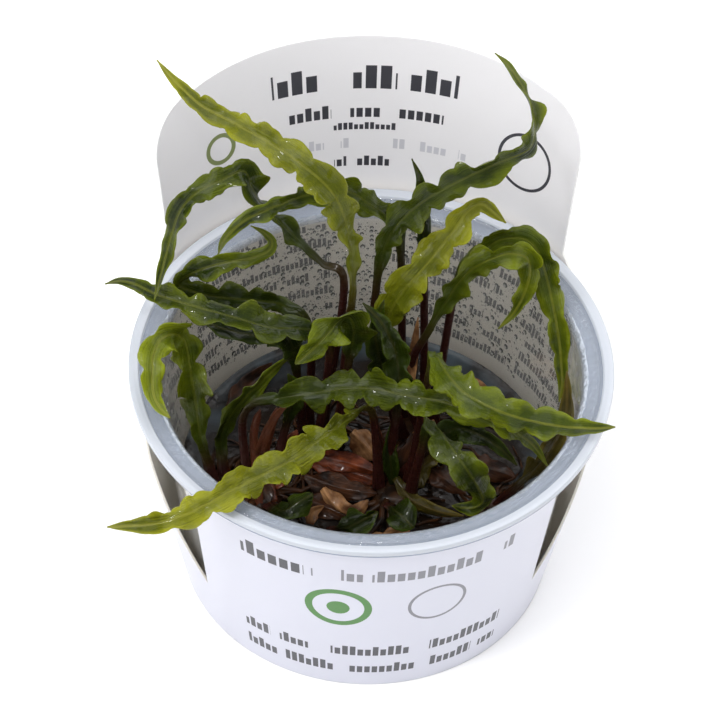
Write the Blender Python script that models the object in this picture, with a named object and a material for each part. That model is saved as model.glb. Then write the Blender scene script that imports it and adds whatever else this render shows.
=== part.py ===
"""A potted crypt in a clear cup with its card sleeve, in metres, +Z up.

The origin is the middle of the cup's underside and the printed front faces -Y.
The plantlets stand in a layer of nutrient gel. Every leaf is one solid with
its own stalk: a ribbon lofted along a smooth curve from its crown to its tip.
"""
import math

import bmesh
import bpy
from mathutils import Matrix, Vector

MM = 0.001

# Cup, turned: radii and heights in millimetres
CUP_SEGMENTS = 48
CUP_BASE_RADIUS = 38.4
CUP_BASE_EDGE = 1.2
CUP_NECK_RADIUS = 44.2
CUP_NECK_HEIGHT = 54.6
CUP_WALL = 0.7
CUP_FLOOR = 1.2
FLANGE_RADIUS = 50.0
FLANGE_UNDERSIDE = 55.4
FLANGE_LIP_HEIGHT = 57.2
FLANGE_SLOPE_DROP = 0.7
FLANGE_INNER_RADIUS = 44.6

# Nutrient gel
GEL_LEVEL = 21.5
GAP = 0.3

# Card sleeve: a wrap with a low front band and a tall back panel
CARD = 0.5
SLEEVE_TURN = 3.4
SLEEVE_BASE_RADIUS = 38.95
SLEEVE_BAND_RADIUS = 46.6
SLEEVE_BAND_HEIGHT = 55.0
SLEEVE_BACK_RADIUS = 51.2
SLEEVE_BACK_HEIGHT = 57.5
SLEEVE_FLARE = 30.0
SLEEVE_WINDOW_TIP = 15.0
BAND_HALF_ANGLE = 55.0
BAND_COLUMNS = 14
WINDOW_COLUMNS = 9
# Back panel's edge: angles in degrees from the front, heights in millimetres
PANEL_FOOT_ANGLE = 126.2
PANEL_SHOULDER_ANGLE = 128.5
PANEL_SHOULDER_HEIGHT = 79.0
PANEL_CORNER_ANGLE = 141.0
PANEL_CORNER_HEIGHT = 91.0
PANEL_TOP_HEIGHT = 93.7
PANEL_CORNER_COLUMNS = 4
PANEL_TOP_COLUMNS = 3

# Leaf section
LEAF_THICKNESS = 0.6
STALK_WIDTH = 1.7
STALK_THICKNESS = 1.3
TIP_HALF_WIDTH = 0.25
TIP_THICKNESS = 0.3
LEAF_FOLD = 0.22
LEAF_RUFFLE = 0.55
LEAF_STEP = 3.2
LEAF_FEWEST_STATIONS = 7
BLADE_SWELL = 0.3
STALK_BLEND = 0.15
FOOT_LIFT = 0.9
# The leaves turn their faces to the light, which falls from the upper front. After
# a bend they come back to it over about TURN_BACK millimetres.
LIGHT = Vector((0.0, -0.66, 0.75))
TURN_BACK = 4.0

# Sight lines of a view 720 across and 720 down, from 800 mm in front and above
VIEW_TILT = 48.5
VIEW_ROLL = 2.1
VIEW_DISTANCE = 800.0
VIEW_AIM = Vector((-2.4, 0.0, 58.0))
VIEW_FOCUS = 3891.0
VIEW_MIDDLE = 360.0

# Crowns: x, y, radius and height above the gel, in millimetres
CROWNS = {
    "crown_front": (6, -7, 4.8, 3.2),
    "crown_back": (10, 11, 5.2, 3.2),
    "crown_middle_left": (-10, 7, 5.0, 3.2),
    "crown_left": (-22, -9, 4.2, 2.6),
    "crown_wall_left": (-31, -6, 3.0, 2.6),
    "crown_right": (27, -9, 2.8, 2.4),
}

# Leaves. foot: the crown it grows from, with the bearing in degrees from +X and
# the reach in millimetres. seen: where the midrib shows in the view, across and
# down, with its height in millimetres, towards the tip. width is the blade's,
# stalk the share of the length that is stalk, and turns are degrees about the
# midrib, evenly spread from foot to tip.
LEAVES = {
    "leaf_tall_left": dict(
        foot=("crown_middle_left", 0, 3.8), width=7.2, stalk=0.42, turns=(0, 0, 10, 50, -10, 0, 20),
        color="leaf_bright",
        seen=[(347, 335, 62), (352, 300, 74), (353, 268, 82), (349, 238, 89), (343, 214, 96), (331, 191, 101),
              (304, 166, 105), (270, 143, 107), (232, 122, 107), (205, 108, 107), (190, 96, 107),
              (170, 76, 107), (157, 60, 108)]),
    "leaf_arched_left": dict(
        foot=("crown_middle_left", 90, 3.4), width=5.6, stalk=0.45, turns=(0, 0, 20, 60, 0, 40),
        color="leaf_mid",
        seen=[(344, 287, 71), (322, 264, 76), (301, 243, 80.5), (281, 224, 85), (262, 206, 89.5),
              (251, 187, 94), (243, 171, 98), (222, 180, 98), (199, 191, 96), (182, 208, 92),
              (174, 228, 87), (167, 252, 82), (161, 276, 77), (154, 301, 72)]),
    "leaf_level_left": dict(
        foot=("crown_back", 140, 3.8), width=6.0, stalk=0.45, turns=(0, 0, 0, 30, -30, 0), color="leaf_mid",
        seen=[(400, 240, 77.5), (386, 217, 84), (370, 205, 88.5), (352, 193, 92), (333, 189, 94),
              (316, 193, 95), (298, 197, 95.5), (280, 204, 95.5), (263, 211, 95), (247, 219, 94),
              (233, 230, 92), (223, 242, 89), (218, 255, 85)]),
    "leaf_folded_back": dict(
        foot=("crown_middle_left", 140, 3.8), width=6.4, stalk=0.35, turns=(0, 10, 0, -30, 0, 30),
        color="leaf_mid",
        seen=[(310, 330, 57), (284, 306, 61), (262, 301, 63), (221, 297, 65), (192, 291, 67),
              (178, 284, 69.5), (184, 277, 72), (204, 268, 75), (228, 262, 77), (252, 258, 78.5),
              (268, 251, 80), (272, 241, 82), (263, 232, 84), (251, 226, 86)]),
    "leaf_far_left": dict(
        foot=("crown_middle_left", 255, 3.4), width=7.0, stalk=0.4, turns=(0, 0, 0, 40, 20, 0),
        color="leaf_mid",
        seen=[(330, 350, 57), (322, 334, 62), (303, 329, 66), (272, 328, 68), (248, 322, 69.5),
              (225, 315, 70.5), (200, 308, 71.5), (176, 301, 71.5), (155, 294, 71), (137, 285, 70),
              (120, 281, 69), (105, 284, 68)]),
    "leaf_under_left": dict(
        foot=("crown_middle_left", 185, 3.8), width=5.0, stalk=0.4, turns=(0, 0, 20, 40), color="leaf_dark",
        seen=[(292, 346, 59.5), (268, 338, 61), (243, 334, 62), (220, 328, 63), (200, 320, 63), (181, 311, 63)]),
    "leaf_broad_middle": dict(
        foot=("crown_middle_left", 310, 3.8), width=8.2, stalk=0.5, turns=(0, 0, 0, 0), color="leaf_mid",
        seen=[(352, 345, 62), (354, 327, 69), (348, 316, 73), (337, 322, 74), (325, 336, 72),
              (311, 351, 68), (295, 364, 64)]),
    "leaf_low_left": dict(
        foot=("crown_left", 50, 2.6), width=5.4, stalk=0.5, turns=(0, 30, 20), color="leaf_dark",
        seen=[(284, 432, 35.5), (291, 405, 43), (294, 386, 49), (288, 374, 53)]),
    "leaf_over_rim_left": dict(
        foot=("crown_front", 170, 3.4), width=6.4, stalk=0.36, turns=(0, 0, 0, 0, 10), color="leaf_bright",
        seen=[(372, 412, 47), (352, 416, 53), (334, 429, 56.5), (315, 443, 58.5), (298, 456, 59.5),
              (275, 469, 60.3), (252, 480, 60.6), (228, 493, 60.8), (205, 505, 60.6), (180, 517, 60),
              (154, 524, 59), (128, 526, 58), (107, 527, 57.5)]),
    "leaf_over_rim_right": dict(
        foot=("crown_front", 40, 3.6), width=7.4, stalk=0.42, turns=(0, 0, 0, 10, 20), color="leaf_bright",
        seen=[(431, 366, 62), (436, 358, 66), (447, 374, 68), (462, 391, 68), (480, 402, 67.8),
              (502, 412, 67), (525, 419, 65.5), (548, 424, 64), (572, 427, 62.8), (594, 428, 61.8),
              (615, 427, 61)]),
    "leaf_across_middle": dict(
        foot=("crown_left", 170, 2.6), width=7.6, stalk=0.26, turns=(0, 20, -20, 0, 0, 20), color="leaf_mid",
        seen=[(243, 440, 37), (244, 415, 45), (256, 403, 50), (280, 398, 52), (310, 394, 54),
              (343, 389, 56), (375, 389, 57.5), (405, 395, 58), (435, 400, 58), (460, 407, 57.5),
              (482, 416, 57), (508, 428, 54), (532, 444, 48), (548, 467, 43)]),
    "leaf_drooping_right": dict(
        foot=("crown_front", 340, 3.2), width=7.0, stalk=0.3, turns=(0, 0, -20, 0, 60), color="leaf_mid",
        seen=[(428, 428, 46), (437, 430, 49), (447, 443, 49.5), (458, 458, 49), (468, 472, 46.5),
              (477, 486, 42), (483, 500, 37), (475, 507, 34.5), (462, 508, 34), (452, 506, 36)]),
    "leaf_hooked": dict(
        foot=("crown_wall_left", 190, 1.2), width=6.2, stalk=0.14, turns=(0, 0, 0, 40, 0, 0),
        color="leaf_bright",
        seen=[(207, 460, 30), (200, 436, 38), (196, 405, 46), (190, 370, 56), (184, 342, 63),
              (173, 334, 67), (160, 340, 68), (153, 356, 66.5), (152, 376, 64.5), (154, 396, 63),
              (161, 409, 62.3), (170, 418, 62)]),
    "leaf_low_wall_left": dict(
        foot=("crown_wall_left", 60, 1.8), width=4.8, stalk=0.15, turns=(0, 40, 40), color="leaf_mid",
        seen=[(221, 437, 33), (232, 413, 39), (248, 394, 43.5), (264, 378, 47.5), (279, 365, 51),
              (294, 354, 54)]),
    "leaf_arched_right": dict(
        foot=("crown_back", 95, 3.8), width=5.8, stalk=0.42, turns=(0, 0, 30, 20, 40), color="leaf_mid",
        seen=[(412, 364, 44), (428, 332, 54), (445, 303, 61), (462, 278, 68), (482, 263, 72.5),
              (505, 254, 75), (524, 256, 74), (530, 270, 70), (525, 292, 64), (514, 313, 58),
              (498, 329, 54)]),
    "leaf_hanging_right": dict(
        foot=("crown_back", 20, 3.8), width=5.8, stalk=0.4, turns=(0, 0, 20, 0, 0), color="leaf_mid",
        seen=[(456, 285, 62.5), (474, 258, 68.5), (500, 240, 73.5), (524, 239, 74), (538, 252, 71.5),
              (547, 279, 65.5), (553, 306, 60), (558, 333, 54), (561, 360, 48.5), (562, 383, 43.5),
              (559, 402, 39.5)]),
    "leaf_tall_right": dict(
        foot=("crown_back", 180, 3.8), width=7.2, stalk=0.4, turns=(0, 0, 0, 10, 30, 60, 20),
        color="leaf_mid",
        seen=[(376, 330, 57), (376, 290, 68.5), (382, 256, 78.5), (394, 229, 86), (413, 209, 91),
              (438, 192, 95), (465, 178, 98), (492, 165, 100), (515, 156, 101.5), (530, 147, 102.5),
              (534, 125, 104.5), (530, 102, 106.5), (519, 82, 108.5), (507, 64, 109.5), (495, 53, 110)]),
    "leaf_yellow_right": dict(
        foot=("crown_back", 300, 3.8), width=7.6, stalk=0.4, turns=(0, 0, 0, 30), color="leaf_bright",
        seen=[(386, 345, 56), (389, 316, 63.5), (403, 291, 70), (421, 271, 75), (438, 250, 79),
              (454, 230, 82.5), (467, 212, 85), (481, 204, 86), (493, 212, 84), (506, 223, 81.5)]),
    "leaf_upright_back": dict(
        foot=("crown_back", 60, 3.8), width=3.4, stalk=0.6, turns=(0, 0, 20), color="leaf_dark",
        seen=[(424, 260, 70), (424, 225, 80), (421, 195, 88), (419, 177, 93), (412, 159, 97.5)]),
    "leaf_dark_behind": dict(
        foot=("crown_back", 230, 3.8), width=5.6, stalk=0.4, turns=(0, 0, 0), color="leaf_dark",
        seen=[(378, 352, 56), (377, 325, 63), (384, 300, 69)]),
    "leaf_dark_middle": dict(
        foot=("crown_front", 125, 3.4), width=6.0, stalk=0.4, turns=(0, 0, 20), color="leaf_dark",
        seen=[(398, 400, 47), (397, 360, 56), (385, 328, 64), (363, 303, 70)]),
    "leaf_shaded_right": dict(
        foot=("crown_front", 82, 3.4), width=5.4, stalk=0.3, turns=(0, 0, 20), color="leaf_dark",
        seen=[(430, 447, 33), (455, 428, 38), (478, 434, 39.5), (500, 448, 39), (517, 465, 37)]),
    "leaf_wall_right": dict(
        foot=("crown_right", 0, 0.6), width=5.0, stalk=0.2, turns=(20, 20, 0), color="leaf_olive",
        seen=[(511, 491, 29), (533, 472, 35), (553, 446, 43), (565, 417, 49.5), (567, 392, 54.5),
              (567, 371, 58)]),
    "leaf_small_left": dict(
        foot=("crown_left", 300, 2.6), width=4.8, stalk=0.2, turns=(0, 0), color="leaf_dark",
        seen=[(284, 512, 28), (298, 503, 30), (313, 494, 31)]),
    "leaf_small_middle": dict(
        width=4.4, stalk=0.2, turns=(0, 0), color="leaf_dark",
        seen=[(328, 530, 22.8), (350, 526, 25.5), (378, 512, 29)]),
    "leaf_small_front": dict(
        width=5.2, stalk=0.2, turns=(0, 0), color="leaf_dark",
        seen=[(386, 505, 26), (400, 515, 28), (414, 528, 27)]),
    "stalk_left_brown": dict(
        foot=("crown_left", 320, 2.6), width=1.8, stalk=1.0, turns=(0, 0), color="stalk_wine",
        seen=[(265, 458, 30), (270, 432, 36), (277, 408, 42)]),
    "stalk_left_wine": dict(
        foot=("crown_left", 250, 2.6), width=1.8, stalk=1.0, turns=(0, 0), color="stalk_wine",
        seen=[(255, 462, 31), (254, 432, 38), (260, 410, 45)]),
}

# Dead leaves and stalks that lie on the gel, described like the leaves
LITTER = {
    "dead_leaf_tan": dict(width=4.4, turns=(0, 0), color="dead_tan",
                          seen=[(352, 432, 27), (365, 445, 25), (376, 460, 22.9)]),
    "dead_stalk_red": dict(width=2.8, turns=(0, 0), color="dead_rust",
                           seen=[(312, 464, 22.9), (345, 471, 24), (378, 481, 24)]),
    "dead_leaf_right": dict(width=4.6, turns=(20, 0), color="dead_rust",
                            seen=[(416, 466, 23.2), (430, 450, 26.5), (444, 434, 30)]),
    "dead_stalk_front": dict(width=2.4, turns=(0, 0), color="dead_rust",
                             seen=[(420, 504, 23.4), (440, 512, 23.2), (459, 516, 22.9)]),
    "dead_leaf_curled": dict(width=3.4, turns=(0, 60, 0), color="dead_tan",
                             seen=[(323, 489, 25.5), (340, 508, 24), (355, 512, 24), (368, 500, 25.5)]),
    "dead_leaf_back": dict(width=3.6, turns=(0, 0), color="dead_tan",
                           seen=[(455, 388, 23), (472, 384, 24), (490, 392, 23)]),
    "dead_leaf_wall_left": dict(width=5.6, turns=(0, 30), color="dead_brown",
                                seen=[(228, 408, 23.2), (250, 385, 24), (272, 363, 24)]),
    "dead_strip_front": dict(width=2.6, turns=(0, 0), color="dead_tan",
                             seen=[(345, 533, 22.8), (365, 535, 22.8), (385, 534, 22.8)]),
}
LITTER_THICKNESS = 0.9
LITTER_RUFFLE = 0.3

# Colour and roughness of each material
FINISHES = {
    "clear_plastic": ((0.90, 0.92, 0.95), 0.08),
    "white_card": ((0.80, 0.80, 0.84), 0.55),
    "blue_grey_gel": ((0.06, 0.09, 0.12), 0.15),
    "crown_brown": ((0.05, 0.03, 0.01), 0.45),
    "leaf_bright": ((0.20, 0.26, 0.02), 0.3),
    "leaf_mid": ((0.09, 0.14, 0.02), 0.3),
    "leaf_dark": ((0.03, 0.06, 0.01), 0.3),
    "leaf_olive": ((0.08, 0.08, 0.02), 0.3),
    "stalk_wine": ((0.04, 0.01, 0.01), 0.3),
    "dead_tan": ((0.30, 0.16, 0.06), 0.5),
    "dead_rust": ((0.14, 0.04, 0.02), 0.5),
    "dead_brown": ((0.05, 0.03, 0.02), 0.4),
}


def clear_scene():
    """Take out whatever objects the file holds."""
    for thing in list(bpy.data.objects):
        bpy.data.objects.remove(thing, do_unlink=True)


def finish(name):
    """The Principled material of that name, made once."""
    material = bpy.data.materials.get(name)
    if material:
        return material
    color, roughness = FINISHES[name]
    material = bpy.data.materials.new(name)
    material.use_nodes = True
    shader = material.node_tree.nodes["Principled BSDF"]
    shader.inputs["Base Color"].default_value = (*color, 1.0)
    shader.inputs["Roughness"].default_value = roughness
    shader.inputs["Metallic"].default_value = 0.0
    return material


def add_object(name, bm, material):
    """Turn a bmesh in millimetres into a named object in metres."""
    bmesh.ops.scale(bm, vec=(MM, MM, MM), verts=bm.verts)
    mesh = bpy.data.meshes.new(name)
    bm.to_mesh(mesh)
    bm.free()
    mesh.materials.append(finish(material))
    thing = bpy.data.objects.new(name, mesh)
    bpy.context.scene.collection.objects.link(thing)
    return thing


def smooth(thing, angle=40.0):
    """Shade a round piece smooth, with its real edges kept sharp."""
    thing.data.shade_smooth()
    thing.data.set_sharp_from_angle(angle=math.radians(angle))


def lathe(name, profile, material, segments=CUP_SEGMENTS):
    """Turn a closed profile of (radius, height) about Z; both ends lie on the axis."""
    bm = bmesh.new()
    rings = []
    for radius, height in profile:
        if radius == 0.0:
            rings.append([bm.verts.new((0.0, 0.0, height))])
            continue
        turns = [2.0 * math.pi * i / segments for i in range(segments)]
        rings.append([bm.verts.new((radius * math.cos(t), radius * math.sin(t), height)) for t in turns])
    for low, high in zip(rings, rings[1:]):
        for i in range(segments):
            j = (i + 1) % segments
            if len(low) == 1:
                bm.faces.new((low[0], high[j], high[i]))
            elif len(high) == 1:
                bm.faces.new((low[i], low[j], high[0]))
            else:
                bm.faces.new((low[i], low[j], high[j], high[i]))
    thing = add_object(name, bm, material)
    smooth(thing)
    return thing


def cup_inside(height):
    """Radius of the cup's inner wall at a height."""
    slope = (CUP_NECK_RADIUS - CUP_BASE_RADIUS) / CUP_NECK_HEIGHT
    return CUP_BASE_RADIUS + slope * height - CUP_WALL


def make_cup():
    """The clear cup: a tapered wall under a sloping flange with a small lip."""
    profile = [
        (0.0, 0.0),
        (CUP_BASE_RADIUS - CUP_BASE_EDGE, 0.0),
        (CUP_BASE_RADIUS, CUP_BASE_EDGE),
        (CUP_NECK_RADIUS, CUP_NECK_HEIGHT),
        (CUP_NECK_RADIUS + CUP_WALL, FLANGE_UNDERSIDE),
        (FLANGE_RADIUS, FLANGE_UNDERSIDE),
        (FLANGE_RADIUS, FLANGE_LIP_HEIGHT),
        (FLANGE_RADIUS - CUP_WALL, FLANGE_LIP_HEIGHT),
        (FLANGE_INNER_RADIUS, FLANGE_LIP_HEIGHT - FLANGE_SLOPE_DROP),
        (cup_inside(CUP_NECK_HEIGHT), CUP_NECK_HEIGHT),
        (cup_inside(CUP_FLOOR), CUP_FLOOR),
        (0.0, CUP_FLOOR),
    ]
    return lathe("cup", profile, "clear_plastic")


def make_gel():
    """The gel: a disc that fills the cup's foot, level on top."""
    foot = CUP_FLOOR + GAP
    profile = [
        (0.0, foot),
        (cup_inside(foot) - GAP, foot),
        (cup_inside(GEL_LEVEL) - GAP, GEL_LEVEL),
        (0.0, GEL_LEVEL),
    ]
    return lathe("nutrient_gel", profile, "blue_grey_gel")


def sleeve_point(degrees, height, radius):
    """A point of the card: degrees are counted from the front, over +X."""
    turn = math.radians(degrees + SLEEVE_TURN)
    return Vector((radius * math.sin(turn), -radius * math.cos(turn), height))


def sleeve_radius(degrees, height):
    """Radius of the card: it hugs the cup in front and flares out past the flange behind."""
    band_slope = (SLEEVE_BAND_RADIUS - SLEEVE_BASE_RADIUS) / SLEEVE_BAND_HEIGHT
    back_slope = (SLEEVE_BACK_RADIUS - SLEEVE_BASE_RADIUS) / SLEEVE_BACK_HEIGHT
    flare = min(1.0, max(0.0, (degrees - BAND_HALF_ANGLE) / SLEEVE_FLARE))
    slope = band_slope + (back_slope - band_slope) * flare
    return SLEEVE_BASE_RADIUS + slope * height


def panel_edge():
    """Angle and height along the back panel's edge: side, round corner and arched top."""
    edge = [(PANEL_FOOT_ANGLE, SLEEVE_BACK_HEIGHT)]
    corner_width = PANEL_CORNER_ANGLE - PANEL_SHOULDER_ANGLE
    corner_rise = PANEL_CORNER_HEIGHT - PANEL_SHOULDER_HEIGHT
    for i in range(PANEL_CORNER_COLUMNS + 1):
        turn = 0.5 * math.pi * i / PANEL_CORNER_COLUMNS
        edge.append((PANEL_CORNER_ANGLE - corner_width * math.cos(turn),
                     PANEL_SHOULDER_HEIGHT + corner_rise * math.sin(turn)))
    for i in range(1, PANEL_TOP_COLUMNS + 1):
        share = i / PANEL_TOP_COLUMNS
        edge.append((PANEL_CORNER_ANGLE + (180.0 - PANEL_CORNER_ANGLE) * share,
                     PANEL_TOP_HEIGHT - (PANEL_TOP_HEIGHT - PANEL_CORNER_HEIGHT) * (1.0 - share) ** 3))
    return edge


def sleeve_columns():
    """Angles from the front with the card's edge height, round one half."""
    half_band = BAND_COLUMNS // 2
    columns = [(BAND_HALF_ANGLE * i / half_band, SLEEVE_BAND_HEIGHT) for i in range(half_band + 1)]
    for i in range(WINDOW_COLUMNS):
        share = i / WINDOW_COLUMNS
        columns.append((BAND_HALF_ANGLE + (PANEL_FOOT_ANGLE - BAND_HALF_ANGLE) * share,
                        SLEEVE_WINDOW_TIP + (SLEEVE_BACK_HEIGHT - SLEEVE_WINDOW_TIP) * share))
    return columns + panel_edge()


def make_sleeve():
    """The card sleeve: one wrap, open at each side, with its back panel standing."""
    bm = bmesh.new()
    levels = [0.0, SLEEVE_WINDOW_TIP, SLEEVE_BACK_HEIGHT, PANEL_TOP_HEIGHT]
    half = sleeve_columns()
    columns = half + [(360.0 - angle, edge) for angle, edge in reversed(half[1:-1])]
    corners = {}

    def corner(angle, height):
        key = (round(angle, 3), round(height, 3))
        if key not in corners:
            radius = sleeve_radius(min(angle, 360.0 - angle), height)
            corners[key] = bm.verts.new(sleeve_point(angle, height, radius))
        return corners[key]

    for (angle, edge), (next_angle, next_edge) in zip(columns, columns[1:] + columns[:1]):
        for low, high in zip(levels, levels[1:]):
            loop = [corner(angle, min(low, edge)), corner(next_angle, min(low, next_edge)),
                    corner(next_angle, min(high, next_edge)), corner(angle, min(high, edge))]
            distinct = list(dict.fromkeys(loop))
            if len(distinct) > 2:
                bm.faces.new(distinct)
    thing = add_object("card_sleeve", bm, "white_card")
    wall = thing.modifiers.new("card thickness", 'SOLIDIFY')
    wall.thickness = CARD * MM
    wall.offset = 1.0
    wall.use_even_offset = True
    smooth(thing)
    return thing


def seen_point(across, down, height):
    """The point at a height whose sight line crosses the view at across and down."""
    tilt = math.radians(VIEW_TILT)
    roll = math.radians(VIEW_ROLL)
    forward = Vector((0.0, math.cos(tilt), -math.sin(tilt)))
    level = Vector((1.0, 0.0, 0.0))
    upward = Vector((0.0, math.sin(tilt), math.cos(tilt)))
    right = level * math.cos(roll) + upward * math.sin(roll)
    top = upward * math.cos(roll) - level * math.sin(roll)
    eye = VIEW_AIM - forward * VIEW_DISTANCE
    sight = forward + (right * (across - VIEW_MIDDLE) - top * (down - VIEW_MIDDLE)) / VIEW_FOCUS
    return eye + sight * ((height - eye.z) / sight.z)


def foot_point(crown, bearing, reach):
    """Where a stalk leaves the top of its crown."""
    x, y, _, rise = CROWNS[crown]
    turn = math.radians(bearing)
    top = GEL_LEVEL + GAP + rise
    return Vector((x + reach * math.cos(turn), y + reach * math.sin(turn), top + FOOT_LIFT))


def leaf_path(seen, foot=None):
    """The midrib's points, from the foot on the crown, where it has one, to the tip."""
    start = [foot_point(*foot)] if foot else []
    return start + [seen_point(*place) for place in seen]


def curve_point(points, place):
    """A smooth curve through the points, at a place from 0 to the last index."""
    last = len(points) - 1
    i = min(int(place), last - 1)
    t = place - i
    before = points[max(i - 1, 0)]
    start, end = points[i], points[i + 1]
    after = points[min(i + 2, last)]
    return 0.5 * ((2.0 * start) + (end - before) * t + (2.0 * before - 5.0 * start + 4.0 * end - after) * t * t
                  + (3.0 * start - before - 3.0 * end + after) * t * t * t)


def stations(points, steps=400):
    """Points at equal steps of length along the smooth curve, about LEAF_STEP apart."""
    fine = [curve_point(points, (len(points) - 1) * i / steps) for i in range(steps + 1)]
    lengths = [0.0]
    for a, b in zip(fine, fine[1:]):
        lengths.append(lengths[-1] + (b - a).length)
    count = max(LEAF_FEWEST_STATIONS, round(lengths[-1] / LEAF_STEP) + 1)
    out = []
    k = 0
    for i in range(count):
        wanted = lengths[-1] * i / (count - 1)
        while k < steps - 1 and lengths[k + 1] < wanted:
            k += 1
        span = lengths[k + 1] - lengths[k]
        out.append(fine[k].lerp(fine[k + 1], (wanted - lengths[k]) / span))
    return out


def blade_half_width(share, stalk, width):
    """Half the leaf's width at a share of its length, from stalk to pointed tip."""
    half_stalk = STALK_WIDTH / 2.0
    if share <= stalk:
        return half_stalk
    along_blade = (share - stalk) / (1.0 - stalk)
    swell = min(1.0, along_blade / BLADE_SWELL)
    swell = swell * swell * (3.0 - 2.0 * swell)
    taper = (1.0 - along_blade ** 2.6) ** 0.8
    return (half_stalk + (width / 2.0 - half_stalk) * swell) * taper


def turned(turns, share):
    """The turn about the midrib, in degrees, at a share of the length."""
    place = share * (len(turns) - 1)
    i = min(int(place), len(turns) - 2)
    return turns[i] + (turns[i + 1] - turns[i]) * (place - i)


def across_leaf(along, side, step):
    """The direction across the leaf: carried on from the last, and turned back to the light as it goes."""
    carried = (side - along * side.dot(along)).normalized()
    facing = along.cross(LIGHT)
    if facing.dot(carried) < 0.0:
        facing = -facing
    return carried.lerp(facing, 1.0 - math.exp(-step / TURN_BACK)).normalized()


def make_leaf(name, seen, width, turns, color, foot=None, stalk=0.0, ruffle=LEAF_RUFFLE,
              thickness=LEAF_THICKNESS):
    """Loft a four-cornered section along the leaf, with a ruffled edge on its blade."""
    middle = stations(leaf_path(seen, foot))
    count = len(middle)
    bm = bmesh.new()
    rings = []
    side = Vector((1.0, 0.0, 0.0))
    for i in range(count):
        share = i / (count - 1)
        along = (middle[min(i + 1, count - 1)] - middle[max(i - 1, 0)]).normalized()
        side = across_leaf(along, side, (middle[i] - middle[max(i - 1, 0)]).length)
        across = Matrix.Rotation(math.radians(turned(turns, share)), 3, along) @ side
        face = across.cross(along).normalized()
        on_blade = min(1.0, max(0.0, (share - stalk) / STALK_BLEND + 0.5)) if stalk else 1.0
        if i < count - 1:
            half = max(TIP_HALF_WIDTH, blade_half_width(share, stalk, width))
            thick = STALK_THICKNESS + (thickness - STALK_THICKNESS) * on_blade
        else:
            half = TIP_HALF_WIDTH
            thick = TIP_THICKNESS
        wave = ruffle * on_blade * min(1.0, half / 2.0)
        if i % 2 == 0:
            wave = -wave
        lift = LEAF_FOLD * half * on_blade
        rings.append([
            bm.verts.new(middle[i] - across * half + face * (lift + wave)),
            bm.verts.new(middle[i] - face * thick / 2.0),
            bm.verts.new(middle[i] + across * half + face * (lift - wave)),
            bm.verts.new(middle[i] + face * thick / 2.0),
        ])
    # both skins are split along the same diagonal, from the edge to the midrib, so that they never cross
    for low, high in zip(rings, rings[1:]):
        for edge, rib in ((0, 1), (0, 3), (2, 1), (2, 3)):
            bm.faces.new((low[edge], low[rib], high[rib]))
            bm.faces.new((low[edge], high[rib], high[edge]))
    bm.faces.new(rings[0][::-1])
    bm.faces.new(rings[-1])
    bmesh.ops.recalc_face_normals(bm, faces=bm.faces)
    thing = add_object(name, bm, color)
    smooth(thing, 60.0)
    return thing


def make_crown(name, x, y, radius, height):
    """A short knobbed crown on the gel, from which a plantlet's leaves rise."""
    bm = bmesh.new()
    foot = GEL_LEVEL + GAP
    bmesh.ops.create_cone(bm, cap_ends=True, segments=10, radius1=radius, radius2=radius * 0.86, depth=height)
    bmesh.ops.translate(bm, vec=(x, y, foot + height / 2.0), verts=bm.verts)
    return add_object(name, bm, "crown_brown")


def main():
    clear_scene()
    make_cup()
    make_gel()
    make_sleeve()
    for name, (x, y, radius, height) in CROWNS.items():
        make_crown(name, x, y, radius, height)
    for name, leaf in LEAVES.items():
        make_leaf(name, **leaf)
    for name, leaf in LITTER.items():
        make_leaf(name, ruffle=LITTER_RUFFLE, thickness=LITTER_THICKNESS, **leaf)


main()
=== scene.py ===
# %% [markdown]
# # A potted crypt in its clear cup
#
# Aquarium plants that were grown in a laboratory are sold in a clear cup with a layer of
# gel. A card sleeve holds the cup, low in front and tall behind. This lesson dresses the
# measured model of one: every leaf, stalk, crown and card here stands where the measured
# solid stands, and adds what the eye sees from a step away.

# %% The measured model
import math
import random

import bmesh
import bpy
import numpy as np
from mathutils import Matrix, Vector, noise


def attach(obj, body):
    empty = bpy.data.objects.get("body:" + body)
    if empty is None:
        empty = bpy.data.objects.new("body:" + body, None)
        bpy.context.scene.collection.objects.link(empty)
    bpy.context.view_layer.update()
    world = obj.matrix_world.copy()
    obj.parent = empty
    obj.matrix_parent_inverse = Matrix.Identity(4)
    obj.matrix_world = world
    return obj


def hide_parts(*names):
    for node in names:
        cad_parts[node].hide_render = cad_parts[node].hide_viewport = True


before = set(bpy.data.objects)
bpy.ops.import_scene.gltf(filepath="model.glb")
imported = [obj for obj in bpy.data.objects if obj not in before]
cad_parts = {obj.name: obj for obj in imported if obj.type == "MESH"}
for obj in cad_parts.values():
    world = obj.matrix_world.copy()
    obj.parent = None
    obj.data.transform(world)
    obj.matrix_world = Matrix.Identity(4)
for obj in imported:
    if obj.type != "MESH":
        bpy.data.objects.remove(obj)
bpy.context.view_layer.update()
MM = 0.001
print("measured nodes:", len(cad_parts))

# %% [markdown]
# ## Small helpers
#
# Modelling by hand starts with nothing selected, adds a primitive, names it, and works on
# it in edit mode. The same few steps come back for each piece, so they are helpers. A
# finished piece keeps its place in its mesh and its object at the origin, as the measured
# nodes do.


# %% Helpers for pieces
def start_clean():
    """Be in object mode with nothing selected."""
    if bpy.context.mode != 'OBJECT':
        bpy.ops.object.mode_set(mode='OBJECT')
    bpy.ops.object.select_all(action='DESELECT')


def name_piece(name):
    """Name the primitive just added, and put its place into its mesh."""
    piece = bpy.context.object
    piece.name = name
    piece.data.name = name
    bpy.ops.object.transform_apply(location=True, rotation=True, scale=True)
    return piece


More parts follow.
